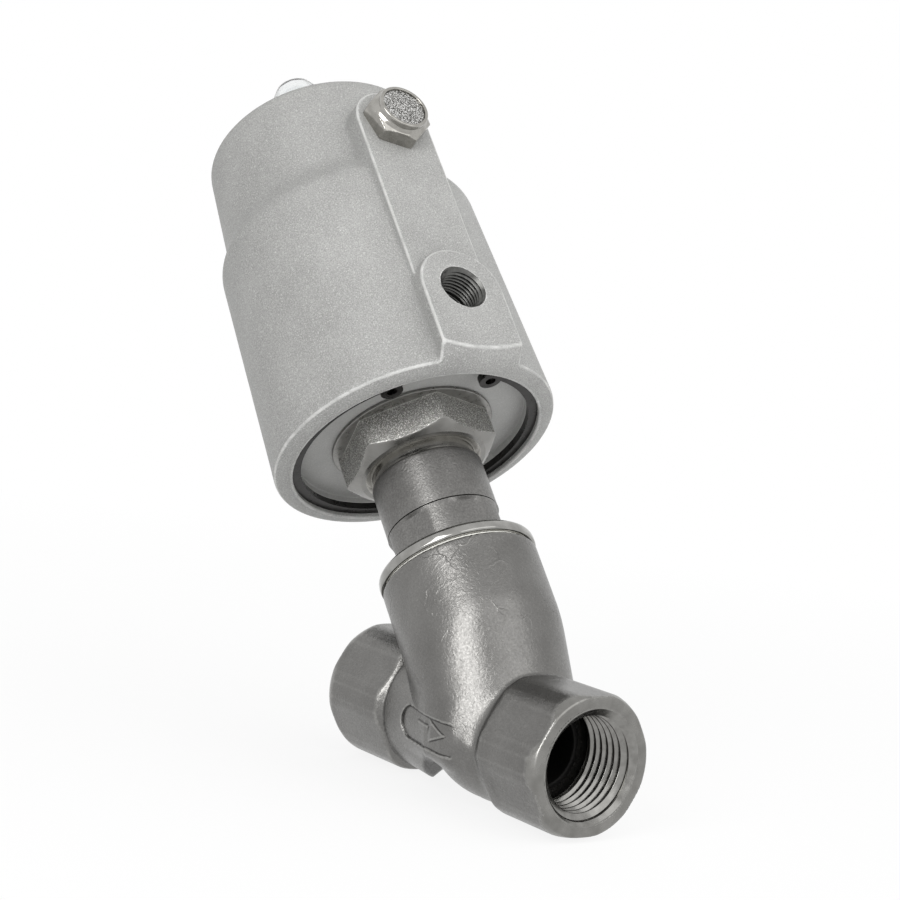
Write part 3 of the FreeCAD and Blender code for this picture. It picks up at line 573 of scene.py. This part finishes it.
# Pressed seat and packing plastic: white, with a waxy shine.
fluoroLook = {"light": "#e9e8e2", "dark": "#dcdbd4", "grainSize": 0.8, "grainHeight": 0.005,
              "rough": 0.45, "ior": 1.35}
# Bearing plastic of the bushes: dull brown.
bushLook = {"light": "#5d574b", "dark": "#4c473d", "grainSize": 0.6, "grainHeight": 0.008,
            "rough": 0.5, "ior": 1.5}
# Moulded pin: signal red with a soft shine, easy to read through the cap.
signalLook = {"light": "#c8321f", "dark": "#b02818", "grainSize": 0.9, "grainHeight": 0.004,
              "rough": 0.35, "ior": 1.49}

housingMetal = grainMetal("blastedCastAluminium", housingLook)
castingMetal = grainMetal("beadBlastedCastStainless", castingLook)
barrelMetal = grainMetal("satinTurnedStainless", barrelLook)
nutMetal = grainMetal("forgedZincSteel", nutLook)
coverMetal = grainMetal("mattCastAluminium", coverLook)
weaveMetal = grainMetal("sinteredSteelWire", weaveLook)
polishedMetal = turnedMetal("polishedStainless", polishedLook, stemDir)
machinedMetal = turnedMetal("machinedStainless", machinedLook, pipeDir)
threadMetal = turnedMetal("cutThreadStainless", threadLook, pipeDir)
drilledMetal = turnedMetal("drilledAluminium", drilledLook, ribDir)
insideShadeMetal = grainMetal("unlitCastSkin", insideShadeLook)
nutFaceMetal = turnedMetal("machinedZincSteel", dict(
    machinedLook, light="#8e8d8a", dark="#7c7b78", rough=0.3), stemDir)
washerMetal = turnedMetal("rolledSteel", washerLook, stemDir)
nickelMetal = turnedMetal("nickelPlatedBrass", nickelLook, ribDir)
# The retaining ring's near-black colour is painted shade of the recess it sits in.
ringShadeMetal = turnedMetal("springSteelInPaintedShade", dict(washerLook, light="#3a3938", dark="#2b2a29"), stemDir)
springMetal = turnedMetal("drawnSpringWire", dict(washerLook, light="#6c6b69", dark="#5a5957"), stemDir)
rubber = mouldedPlastic("mouldedNitrileRubber", rubberLook)
fluoroPlastic = mouldedPlastic("pressedFluoropolymer", fluoroLook)
bushPlastic = mouldedPlastic("filledBearingPlastic", bushLook)
signalPlastic = mouldedPlastic("mouldedSignalPlastic", signalLook)


# Clear moulded polycarbonate of the sight cap: see-through, glossy, with a faint moulded ripple.
clearLook = {"tint": "#f2f4f4", "ior": 1.585, "rough": 0.03, "rippleSize": 3.0, "rippleHeight": 0.02}


def clearPlastic(name, look):
    material, tree, where = startMaterial(name)
    ripple = addNode(tree, "TexNoise", {
        "Vector": where, "Scale": 1 / (look["rippleSize"] * mm), "Detail": 1.0})
    bump = addNode(tree, "Bump", {
        "Height": ripple, "Strength": 1.0, "Distance": look["rippleHeight"] * mm})
    shader = addNode(tree, "BsdfPrincipled", {
        "Base Color": linear(look["tint"]), "Roughness": look["rough"], "IOR": look["ior"],
        "Transmission Weight": 1.0, "Normal": bump})
    addNode(tree, "OutputMaterial", {"Surface": shader})
    return material


clearCap = clearPlastic("clearPolycarbonate", clearLook)
print("materials ready")

housing = {
    "rim": 68.1, "lipRadius": 29.9, "radius": 31.0, "chamferTop": 69.2,
    "shoulderRadius": 29.3, "shoulder": 121.9, "upperRadius": 26.6, "shoulderTop": 126.9,
    "topRadius": 24.9, "top": 151.5, "topRound": 2.5,
    "recessRadius": 27.2, "recessTop": 72.4,
    "ribFace": 30.2, "ribHalf": 8.9, "ribHead": 133.3,
    "bossFace": 32.8, "bossHalf": 9.7, "bossHead": 86.4,
    "portRadius": 5.05, "portEnd": 24.6,
    "edge": 0.35, "fillet": 0.5, "step": 0.45,
}


def housingField(x, y, a):
    h = housing
    r = np.hypot(x, y)
    draft = (h["radius"] - h["shoulderRadius"]) / (h["shoulder"] - h["chamferTop"])
    lower = r - h["radius"] + (a - h["chamferTop"]) * draft
    slope = (h["shoulderRadius"] - h["upperRadius"]) / (h["shoulderTop"] - h["shoulder"])
    ledge = (r - h["shoulderRadius"] + (a - h["shoulder"]) * slope) / math.hypot(1, slope)
    lower = softMax(lower, ledge, 0.6)
    draft = (h["upperRadius"] - h["topRadius"]) / (h["top"] - h["shoulderTop"])
    upper = r - h["upperRadius"] + (a - h["shoulderTop"]) * draft
    upper = roundMax(upper, a - h["top"], h["topRound"])
    lower = np.maximum(lower, a - h["top"])
    shape = roundMin(lower, upper, 0.7)
    for face, half, head in ((h["ribFace"], h["ribHalf"], h["ribHead"]),
                             (h["bossFace"], h["bossHalf"], h["bossHead"])):
        outline = np.where(a < head, np.abs(y), np.hypot(y, a - head)) - half
        pad = roundMax(np.maximum(x - face, -x), outline, h["edge"])
        shape = roundMin(shape, pad, h["fillet"])
    cone = (r - h["lipRadius"] - (a - h["rim"])) / math.sqrt(2)
    shape = roundMax(shape, cone, 0.3)
    shape = roundMax(shape, h["rim"] - a, 2.2)
    recess = np.maximum(r - h["recessRadius"], a - h["recessTop"])
    shape = roundMax(shape, -recess, 0.4)
    port = np.maximum(np.hypot(y, a - h["bossHead"]) - h["portRadius"], h["portEnd"] - x)
    return roundMax(shape, -port, 0.25)


def housingFinish(x, y, a):
    # 0 is the blasted skin, 1 the drilled hole.
    h = housing
    return ((np.hypot(y, a - h["bossHead"]) < h["portRadius"] + 0.1) & (x > 20)).astype(float)


housingShell = fieldObject(
    "housingShell", housingField, (-31.6, -31.6, 67.4), (33.6, 31.6, 152.2), housing["step"],
    actuatorPlace, "valve_body", ["actuator_housing"], finishOf=housingFinish)
dress(housingShell, housingMetal, drilledMetal)

casting = {
    "neckRadius": 16.5, "neckTop": 37.6, "ballCentre": 4.5, "frontRadius": 17.3, "frontLean": 63.0,
    "frontStart": 22.0, "hubRadius": 12.9, "hubEndRadius": 14.67, "hubEnd": -6.5, "outletHubEnd": 8,
    "shelf": 2.6, "flats": 27.1, "cornerRadius": 14.4, "turnedRadius": 13.6,
    "coneSlope": (0.4226, 0.9063),  # a cone of 65 degrees at each end
    "outletHex": 17.6, "inletHex": 19.8, "boreRadius": 11.2, "boreDepth": 14.2, "passage": 7.4,
    "orifice": 7.4, "seatRadius": 8.9, "chamber": 12.6, "chamberFloor": 3.0, "seatTop": 4.6,
    "seatWall": 3.0, "thinnest": 0.9,
    "sideBlend": 2.0, "blendLow": -4.8, "blendHigh": 4.5,
    "swellAt": (-25, -19, -9, 0), "swellRadius": (11.2, 13.1, 16.1, 16.1),
    "swellStart": -26, "swellEnd": 0.5, "swellMiddle": 1.6, "swellHalf": 7.6,
    "notchSlope": (0.569, 0.493, -0.654), "notchAt": (-19.2, 7.5, -13.0),
    "notchMiddle": 2.5, "notchWall": 8.3,
    # shadeWall: how far out from the passage the inside is painted dark as shade
    "finishDepth": -0.12, "shadeWall": 1.1,  # where the turned and the dark finish end
    "step": 0.45,
}
flowMark = {
    "left": -20.2, "right": 0.3, "bottom": -3.75, "top": 2.8, "depthLeft": 0.7, "depthRight": 0.22,
    "arrow": 0.38, "arrowMiddle": 0.2, "arrowEdge": 0.15, "tail": -12.2, "barbs": -7.6, "tip": -1.7,
    "barbHalf": 2.35, "shaftHalf": 0.8, "rise": 1.5,
}
pipeEnds = ((1, layout["outletReach"]), (-1, layout["inletReach"]))


def hexField(y, z, flats):
    across = [np.abs(y * math.cos(t) + z * math.sin(t))
              for t in (math.pi / 2, math.pi / 6, 5 * math.pi / 6)]
    return np.maximum(np.maximum(across[0], across[1]), across[2]) - flats / 2


def stemPolar(x, y, z):
    # Height along the stem's axis and distance from it.
    across = x * math.sin(lean) + z * math.cos(lean)
    return -x * math.cos(lean) + z * math.sin(lean), np.hypot(across, y)


def turnedCone(out, rp):
    along, away = casting["coneSlope"]
    return out * along + (rp - casting["turnedRadius"]) * away


def castingSkin(x, y, z):
    c = casting
    a, rs = stemPolar(x, y, z)
    rp = np.hypot(y, z)
    ball = np.hypot(rs, np.minimum(a - c["ballCentre"], 0)) - c["neckRadius"]
    steep = math.radians(c["frontLean"])
    pivotX = c["neckRadius"] * math.sin(lean) - c["frontStart"] * math.cos(lean)
    pivotZ = c["neckRadius"] * math.cos(lean) + c["frontStart"] * math.sin(lean)
    out = (x - pivotX) * math.sin(steep) + (z - pivotZ) * math.cos(steep) + c["frontRadius"]
    front = np.hypot(np.maximum(out, 0), y) - c["frontRadius"]
    chamber = softMax(ball, front, 0.5)
    chamber = roundMax(chamber, a - c["neckTop"], 0.7)

    hexagon = roundMax(hexField(y, z, c["flats"]), rp - c["cornerRadius"], 0.5)
    ends = []
    for (sign, reach), length in zip(pipeEnds, (c["outletHex"], c["inletHex"])):
        out = sign * x - reach
        end = roundMax(roundMax(hexagon, out, 0.35), turnedCone(out, rp), 0.3)
        inner = -length - out
        if sign > 0:
            end = roundMax(end, inner, 1.2)
        else:
            end = roundMax(end, (inner + (rp - c["hubRadius"])) / math.sqrt(2), 0.35)
        ends.append(end)
    outletHub = np.maximum(rp - c["hubRadius"], np.maximum(-x, x - c["outletHubEnd"]))
    start = -layout["inletReach"] + c["inletHex"]
    flare = c["hubRadius"] + (c["hubEndRadius"] - c["hubRadius"]) * (x - start) / (c["hubEnd"] - start)
    inletHub = np.maximum(rp - flare, np.maximum(start - 3 - x, x - c["hubEnd"]))
    inletHub = roundMax(inletHub, c["shelf"] - a, 0.7)
    n, at = c["notchSlope"], c["notchAt"]
    notch = n[0] * (x - at[0]) + n[1] * (at[1] - np.hypot(y - c["notchMiddle"], 0.8)) + n[2] * (z - at[2])
    inletHub = roundMax(inletHub, roundMin(notch, rp - c["notchWall"], 0.8), 0.2)
    shape = roundMin(chamber, ends[0], 1.6)
    shape = roundMin(shape, outletHub, 1.2)
    beside = np.clip((z - c["blendLow"]) / 1.6, 0, 1) * np.clip((c["blendHigh"] - z) / 4, 0, 1)
    shape = roundMin(shape, inletHub, 0.5 + c["sideBlend"] * beside)
    # the hub swells towards the chamber beside the flow mark
    swell = np.interp(x, c["swellAt"], c["swellRadius"])
    cheek = roundMax(rp - swell, np.abs(z - c["swellMiddle"]) - c["swellHalf"], 2.0)
    cheek = roundMax(np.maximum(cheek, c["swellStart"] - x), x - c["swellEnd"], 4.0)
    shape = roundMin(shape, cheek, 2.0)
    shape = roundMin(shape, ends[1], 0.25)

    m = flowMark
    t = np.clip((x - m["left"]) / (m["right"] - m["left"]), 0, 1)
    middle = (m["top"] + m["bottom"]) / 2
    half = (m["top"] - m["bottom"]) / 2
    pill = np.hypot(np.maximum(m["left"] + half - x, 0), z - middle) - half
    pill = np.maximum(roundMax(pill, x - m["right"], 1.5), y)
    level = z - m["arrowMiddle"]
    shaft = np.maximum(np.abs(x - (m["tail"] + m["barbs"]) / 2) - (m["barbs"] - m["tail"]) / 2 - 0.2,
                       np.abs(level) - m["shaftHalf"])
    slope = m["barbHalf"] / (m["tip"] - m["barbs"])
    head = np.maximum(m["barbs"] - x, (np.abs(level) - (m["tip"] - x) * slope) / math.hypot(1, slope))
    # the head rises from nothing at its barbs, the shaft from nothing at its lower edge
    shaft = np.clip(0.5 + level / m["shaftHalf"] / 2, 0, 1) * np.clip(0.5 - shaft / m["arrowEdge"], 0, 1)
    head = np.clip((x - m["barbs"]) / m["rise"], 0, 1) * np.clip(0.5 - head / m["arrowEdge"], 0, 1)
    depth = m["depthLeft"] + (m["depthRight"] - m["depthLeft"]) * t
    depth = depth * np.clip((m["right"] - 0.3 - x) / m["rise"], 0, 1)
    depth = depth - m["arrow"] * np.maximum(shaft, head)
    # inside the pill the skin sinks by this depth
    return np.maximum(shape, np.minimum(-pill, shape + depth))


def castingField(x, y, z):
    c = casting
    a, rs = stemPolar(x, y, z)
    rp = np.hypot(y, z)
    shape = castingSkin(x, y, z)

    chamberHole = np.maximum(rs - c["chamber"], c["chamberFloor"] - a)
    seatMiddle, seatHalf = (c["seatRadius"] + c["orifice"]) / 2, (c["seatRadius"] - c["orifice"]) / 2
    seat = np.maximum(np.abs(rs - seatMiddle) - seatHalf, a - c["seatTop"])
    chamberHole = np.maximum(chamberHole, -seat)
    orifice = np.maximum(a - c["chamberFloor"] - 1, c["chamberFloor"] - 3.5 - a)
    orifice = np.maximum(rs - c["orifice"], orifice)
    inletHole = np.maximum(rp - c["passage"], np.maximum(x, c["chamberFloor"] - a))
    outletHole = np.maximum(-c["passage"] - x, a - c["chamberFloor"] + c["seatWall"])
    outletHole = np.maximum(rp - c["passage"], outletHole)
    chamberHole = np.maximum(chamberHole, shape + c["thinnest"])
    hollow = np.minimum(np.minimum(chamberHole, orifice), np.minimum(inletHole, outletHole))
    for sign, reach in pipeEnds:
        depth = reach - sign * x
        hollow = np.minimum(hollow, np.maximum(rp - c["boreRadius"], depth - c["boreDepth"]))
    return roundMax(shape, -hollow, 0.2)


def castingFinish(x, y, z):
    # 0 is the cast skin, 1 the turned end faces and chamfers, 2 the inside, painted dark as shade.
    c = casting
    rp = np.hypot(y, z)
    finish = np.zeros(len(x))
    for sign, reach in pipeEnds:
        out = sign * x - reach
        finish[(turnedCone(out, rp) > c["finishDepth"]) & (out > -3)] = 1
        finish[out > c["finishDepth"]] = 1
    a, rs = stemPolar(x, y, z)
    chamber = (rs < c["chamber"] + 0.3) & (a > 2.5) & (castingSkin(x, y, z) < -0.5)
    finish[(rp < c["passage"] + c["shadeWall"]) | chamber] = 2
    return finish


def neckSkin(x, y, z):
    # 1 on the open skin of the neck, 0 on the hubs and hexagons.
    a, rs = stemPolar(x, y, z)
    return np.clip((a - 12) / 3, 0, 1) * np.clip((17.2 - rs) / 0.4, 0, 1)


def stepShade(x, y, z):
    # Painted shade on the step under the hub.
    c = casting
    a = stemPolar(x, y, z)[0]
    step = np.clip((0.75 - np.abs(a - c["shelf"])) / 0.45, 0, 1) * np.clip((-4 - z) / 1.5, 0, 1)
    return 0.7 * step * (x < -10.5) * (np.hypot(y, z) > c["notchWall"])


bodyCasting = fieldObject(
    "bodyCastingSkin", castingField, (-48.0, -17.6, -14.4), (24.0, 17.6, 41.6), casting["step"],
    pipePlace, "valve_body", ["body_casting"], finishOf=castingFinish,
    finer=[((-22, -18, -5), (2.5, -11, 4.2), 2)],  # the flow mark
    masks={"neckSkin": neckSkin, "stepShade": stepShade})
dress(bodyCasting, castingMetal, machinedMetal, insideShadeMetal)
print("castings made")

pipeThread = {"major": 10.48, "minor": 9.32, "pitch": 1.814, "length": 14.0,
              "mouth": 11.15, "outer": 11.5}
airThread = {"major": 4.864, "minor": 4.283, "pitch": 0.907, "length": 7.4, "mouth": 5.2, "outer": 5.4}


def threadObject(name, thread, place, body, metal, columns=120):
    # A helical thread down a hole. Its rows climb with the helix, so crests and roots stay crisp.
    pitch, length = thread["pitch"], thread["length"]
    profile = [(0.0, 1.0), (0.09, 1.0), (0.41, 0.06), (0.46, 0.0),
               (0.54, 0.0), (0.59, 0.06), (0.91, 1.0)]
    turns = int(length / pitch) + 2
    points = []
    for row in range(turns * len(profile) + 1):
        share, height = profile[row % len(profile)]
        for column in range(columns + 1):
            angle = 2 * math.pi * column / columns
            depth = (row // len(profile) + share - 1 + column / columns) * pitch
            radius = thread["minor"] + (thread["major"] - thread["minor"]) * height
            fade = min(1.0, max(0.0, (length - depth) / pitch))
            depth = min(length, max(0.0, depth))
            radius = max(radius * fade + thread["major"] * (1 - fade), thread["mouth"] - depth)
            points.append((radius * math.cos(angle), radius * math.sin(angle), -depth))
    wide = columns + 1
    threadRows = len(points) // wide
    # a plain sleeve closes the insert behind the thread
    sleeve = ((thread["mouth"], 0.0), (thread["outer"], 0.05),
              (thread["outer"], length), (thread["major"], length))
    for radius, depth in sleeve:
        for column in range(wide):
            angle = 2 * math.pi * column / columns
            points.append((radius * math.cos(angle), radius * math.sin(angle), -depth))
    faces = [(i * wide + k, i * wide + k + 1, (i + 1) * wide + k + 1, (i + 1) * wide + k)
             for i in range(threadRows + len(sleeve) - 1) if i != threadRows - 1
             for k in range(columns)]
    mesh = bpy.data.meshes.new(name)
    mesh.from_pydata(toWorld(np.array(points), place).tolist(), [], faces)
    tidyMesh(mesh, 40.0)
    dress(newObject(name, mesh, body, ()), metal)


outletPlace = (np.array([0.0, 0, 0]), sideDir, upDir, pipeDir)
inletPlace = (crossing - pipeDir * layout["inletReach"], upDir, sideDir, -pipeDir)
airPlace = (crossing + stemDir * housing["bossHead"] + ribDir * housing["bossFace"],
            ribSide, stemDir, ribDir)
threadObject("outletThread", pipeThread, outletPlace, "valve_body", threadMetal)
threadObject("inletThread", pipeThread, inletPlace, "valve_body", threadMetal)
threadObject("airPortThread", airThread, airPlace, "valve_body", drilledMetal, columns=96)

bonnet = {"flats": 22.8, "turn": 20.0, "flatsLow": 40.7, "flatsHigh": 48.85, "flange": 16.7,
          "barrel": 12.0, "collar": 11.35, "flangeShine": 40.75, "collarShine": 60.9}


def bonnetWarp(radii, height, angles):
    if bonnet["flatsLow"] < height < bonnet["flatsHigh"]:
        return np.minimum(radii, hexRadius(angles, bonnet["flats"], 3.0, bonnet["turn"]))
    return radii


def bonnetFinish(radius, height):
    # 0 is the blasted barrel, 1 the polished flange and collar.
    collar = height > bonnet["collarShine"] and radius < 11.5
    return 1 if height < bonnet["flangeShine"] or collar else 0


bonnetPiece = lathe("bonnetBarrel", [
    (9.0, 38.05), (bonnet["flange"], 38.05, 0.5), (bonnet["flange"], 40.6, 1.2), (12.05, 40.6, 0.3),
    (12.05, 48.9), (11.45, 48.95), (11.45, 49.1), (bonnet["barrel"], 49.2),
    (bonnet["barrel"], 61.2, 0.6), (bonnet["collar"], 61.2, 0.15), (bonnet["collar"], 64.7, 0.2),
    (9.9, 64.7), (9.9, 76.0), (9.0, 76.0)],
    stemPlace, "valve_body", ["bonnet"], angles=cornerAngles(bonnet["turn"]),
    warp=bonnetWarp, slotOf=bonnetFinish, extraRows=0.6)
dress(bonnetPiece, barrelMetal, polishedMetal)

lockNut = {"flats": 29.5, "turn": -15.0, "base": 63.4, "top": 71.4, "turned": 13.7, "sink": 12.7}


def nutWarp(radii, height, angles):
    return np.minimum(radii, hexRadius(angles, lockNut["flats"], 2.0, lockNut["turn"]))


nutPiece = lathe("lockNutBody", [
    (10.05, lockNut["top"]), (10.05, 64.0), (11.45, 63.95), (12.6, lockNut["base"], 0.15),
    (lockNut["turned"], lockNut["base"], 0.3), (17.4, 65.5), (17.4, lockNut["top"])],
    stemPlace, "valve_body", ["lock_nut"], angles=cornerAngles(lockNut["turn"]),
    warp=nutWarp, extraRows=0.25)
for face in nutPiece.data.polygons:
    # 0 the forged flats, 1 the turned face and chamfer, 2 the countersink, in the brighter nickel metal
    # as painted light against its shade
    flank = abs(face.normal.dot(Vector(stemDir))) < 0.3
    reach = (face.center / mm - Vector(crossing)).cross(Vector(stemDir)).length
    face.material_index = 2 if reach < lockNut["sink"] else 0 if flank else 1
dress(nutPiece, nutMetal, nutFaceMetal, nickelMetal)

washerPiece = lathe("lockWasherDisc", [
    (10.3, 71.42), (17.7, 71.42, 0.2), (17.7, 72.18, 0.2), (10.3, 72.18)],
    stemPlace, "valve_body", ["lock_washer"])
dress(washerPiece, washerMetal)

coverPiece = lathe("bottomCoverPlate", [
    (10.05, 78.2), (10.05, 72.2), (25.15, 72.2, 0.2), (25.15, 70.8, 0.2), (26.7, 70.8, 0.1),
    (27.15, 71.2, 0.1), (27.15, 78.2)],
    stemPlace, "valve_body", ["bottom_cover"], extraRows=1.5)
dress(coverPiece, coverMetal)
print("bonnet, nut and cover made")

silencer = {"flats": 13.0, "turn": 15.0, "flatsTop": 3.45, "seat": 4.95, "mesh": 4.9}
silencerPlace = (crossing + stemDir * housing["ribHead"] + ribDir * housing["ribFace"],
                 -stemDir, ribSide, ribDir)


def silencerWarp(radii, height, angles):
    if height < silencer["flatsTop"]:
        return np.minimum(radii, hexRadius(angles, silencer["flats"], 0.3, silencer["turn"]))
    return radii


silencerPiece = lathe("silencerShell", [
    (3.0, 0.0), (7.2, 0.0), (7.6, 0.25), (7.6, 2.8), (6.5, 3.4, 0.1), (6.3, 3.5, 0.2),
    (5.7, 4.1, 0.6), (5.7, 5.5, 0.3), (silencer["seat"], 5.5, 0.2), (silencer["seat"], 4.6), (3.0, 4.6)],
    silencerPlace, "valve_body", ["silencer_body"],
    angles=cornerAngles(silencer["turn"], coarse=2.5), warp=silencerWarp, extraRows=0.3)
dress(silencerPiece, nickelMetal)
meshPiece = lathe("silencerWeave", [
    (0.0, 5.2), (silencer["mesh"], 5.15, 0.1), (silencer["mesh"], 4.65), (0.0, 4.65)],
    silencerPlace, "valve_body", ["silencer_mesh"], extraRows=0.5)
dress(meshPiece, weaveMetal)
print("silencer made")

capPiece = lathe("sightCapDome", [
    (5.9, 146.0), (5.9, 153.1), (7.8, 153.1, 0.15), (7.8, 154.3, 0.3), (5.8, 154.3, 0.3),
    (5.8, 166.1), (5.5, 168.3), (4.4, 170.3), (2.6, 171.5), (0.0, 171.9),
    (0.0, 170.5), (2.2, 170.0), (3.6, 168.9), (4.3, 167.3), (4.4, 166.1), (4.4, 151.5),
    (2.6, 151.5), (2.6, 146.0)],
    actuatorPlace, "valve_body", ["sight_cap"], extraRows=2.0)
dress(capPiece, clearCap)

# The springs stand between the piston and the closed top.
springRoom = {"low": 99.1, "top": 145.5, "lift": 10.0, "bevel": 0.25, "turnSteps": 60}
coils = {
    "closing_spring": {"name": "closingCoil", "radius": 16.4, "wide": 4.0, "high": 2.4, "turns": 6},
    "inner_spring": {"name": "innerCoil", "radius": 10.2, "wide": 2.6, "high": 1.6, "turns": 7},
}
for node, coil in coils.items():
    # flat wire with broken corners, swept along the helix and capped at both ends
    w, h, bevel = coil["wide"] / 2, coil["high"] / 2, springRoom["bevel"]
    section = [(-w, bevel - h), (bevel - w, -h), (w - bevel, -h), (w, bevel - h),
               (w, h - bevel), (w - bevel, h), (bevel - w, h), (-w, h - bevel)]
    steps = coil["turns"] * springRoom["turnSteps"]
    points, faces = [], [tuple(range(7, -1, -1)), tuple(steps * 8 + k for k in range(8))]
    for step in range(steps + 1):
        angle = 2 * math.pi * step / springRoom["turnSteps"]
        height = springRoom["low"] + h + (springRoom["top"] - springRoom["low"] - 2 * h) * step / steps
        for across, up in section:
            radius = coil["radius"] + across
            points.append((radius * math.cos(angle), radius * math.sin(angle), height + up))
        if step < steps:
            for k in range(8):
                m = (k + 1) % 8
                faces.append((step * 8 + k, step * 8 + m, step * 8 + 8 + m, step * 8 + 8 + k))
    wire = bpy.data.meshes.new(coil["name"])
    wire.from_pydata(toWorld(np.array(points), stemPlace).tolist(), [], faces)
    tidyMesh(wire, 30.0)
    piece = newObject(coil["name"], wire, "valve_body", [node])
    dress(piece, springMetal)
    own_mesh(piece)
print("springs wound")

finishes = {
    "packing_follower": barrelMetal, "gland_bush": barrelMetal, "stem": polishedMetal,
    "disc_holder": barrelMetal, "seal_washer": barrelMetal, "disc_nut": barrelMetal,
    "piston_washer": washerMetal, "piston_nut": nutMetal, "piston": coverMetal,
    "retaining_ring": ringShadeMetal, "disc_springs": springMetal, "indicator_pin": signalPlastic,
    "cover_seal": rubber, "rod_seal": rubber, "piston_seal": rubber, "cap_seal": rubber,
    "packing_rings": fluoroPlastic, "seat_seal": fluoroPlastic, "bonnet_gasket": fluoroPlastic,
    "lower_guide_bush": bushPlastic, "rod_bush": bushPlastic, "piston_guide_band": bushPlastic,
}
for node, metal in finishes.items():
    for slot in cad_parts[node].material_slots:
        slot.material = metal
print("solids dressed")

studio = {
    "floorHeight": -14.6, "floorColor": "#f4f4f4", "floorGlow": 0.86,
    "plainFrom": 0.12, "plainTo": 0.5,
    "worldColor": "#ffffff", "worldLight": 1.5, "worldDim": -0.4, "brightSide": (0.8, 0.5, 0.3),
    "backdropLight": 1.0,
}


def seenWhite(tree):
    # 1 for what the camera sees and for what metal and glass reflect or let through.
    rays = addNode(tree, "LightPath")
    both = addNode(tree, "Math", {
        0: rays.outputs["Is Camera Ray"], 1: rays.outputs["Is Glossy Ray"]}, operation="MAXIMUM")
    return addNode(tree, "Math", {
        0: both, 1: rays.outputs["Is Transmission Ray"]}, operation="MAXIMUM").outputs[0]


def paintedFloor(name, look):
    # Matt white paint; most of what is seen is its own white, the rest takes the shadow.
    material, tree, where = startMaterial(name)
    paint = addNode(tree, "BsdfPrincipled", {
        "Base Color": linear(look["floorColor"]), "Roughness": 0.8})
    glow = addNode(tree, "Emission", {"Color": (1, 1, 1, 1), "Strength": 1.0})
    away = addNode(tree, "VectorMath", {0: where}, operation="LENGTH")
    glowing = addNode(tree, "MapRange", {
        "Value": away, "From Min": look["plainFrom"], "From Max": look["plainTo"],
        "To Min": look["floorGlow"], "To Max": 1.0})
    share = addNode(tree, "Math", {0: seenWhite(tree), 1: glowing}, operation="MULTIPLY")
    mixed = addNode(tree, "MixShader", {0: share, 1: paint, 2: glow})
    addNode(tree, "OutputMaterial", {"Surface": mixed})
    return material


floorMesh = bpy.data.meshes.new("floor")
floorMesh.from_pydata([(-4, -4, 0), (4, -4, 0), (4, 4, 0), (-4, 4, 0)], [], [(0, 1, 2, 3)])
floor = bpy.data.objects.new("floor", floorMesh)
floor.location.z = studio["floorHeight"] * mm
bpy.context.scene.collection.objects.link(floor)
floorMesh.materials.append(paintedFloor("whitePaintedFloor", studio))

world = bpy.data.worlds.new("studio")
bpy.context.scene.world = world
world.use_nodes = True
tree = world.node_tree
tree.nodes.clear()
facing = addNode(tree, "VectorMath", {
    0: addNode(tree, "TexCoord").outputs["Generated"], 1: studio["brightSide"]},
    operation="DOT_PRODUCT")
level = addNode(tree, "MapRange", {
    "Value": facing, "From Min": -1.0, "From Max": 1.0,
    "To Min": studio["worldDim"], "To Max": studio["worldLight"]})
plain = addNode(tree, "Background", {
    "Color": linear(studio["worldColor"]), "Strength": level})
white = addNode(tree, "Background", {
    "Color": (1, 1, 1, 1), "Strength": studio["backdropLight"]})
mixed = addNode(tree, "MixShader", {0: seenWhite(tree), 1: plain, 2: white})
addNode(tree, "OutputWorld", {"Surface": mixed})

# Each lamp stands at an azimuth and elevation as seen from the object, in degrees.
lamps = {
    "keyLeft": {"azimuth": -65, "elevation": 23, "distance": 1.0,
                "width": 0.5, "height": 0.7, "power": 5.6},
    "topFill": {"azimuth": 4, "elevation": 38, "distance": 1.2,
                "width": 1.1, "height": 0.8, "power": 2.6},
}
aim = Vector((-0.060, 0.0, 0.055))
for name, lamp in lamps.items():
    data = bpy.data.lights.new(name, "AREA")
    data.shape = "RECTANGLE"
    data.size = lamp["width"]
    data.size_y = lamp["height"]
    data.energy = lamp["power"]
    light = bpy.data.objects.new(name, data)
    azimuth, elevation = math.radians(lamp["azimuth"]), math.radians(lamp["elevation"])
    level = math.cos(elevation)
    away = Vector((level * math.cos(azimuth), level * math.sin(azimuth), math.sin(elevation)))
    light.location = aim + away * lamp["distance"]
    light.rotation_euler = away.to_track_quat("Z", "Y").to_euler()
    bpy.context.scene.collection.objects.link(light)

view = {"at": (0.275967, -0.247779, 0.080664), "turn": (86.1244, -6.9726, 53.7475),
        "lens": 80.0, "sensor": 36.0}
cameraData = bpy.data.cameras.new("camera")
cameraData.lens = view["lens"]
cameraData.sensor_width = view["sensor"]
cameraData.clip_start = 0.01
camera = bpy.data.objects.new("camera", cameraData)
camera.location = view["at"]
camera.rotation_euler = Euler([math.radians(v) for v in view["turn"]])
bpy.context.scene.collection.objects.link(camera)
bpy.context.scene.camera = camera
bpy.context.scene.view_settings.view_transform = "Standard"
print("studio ready")
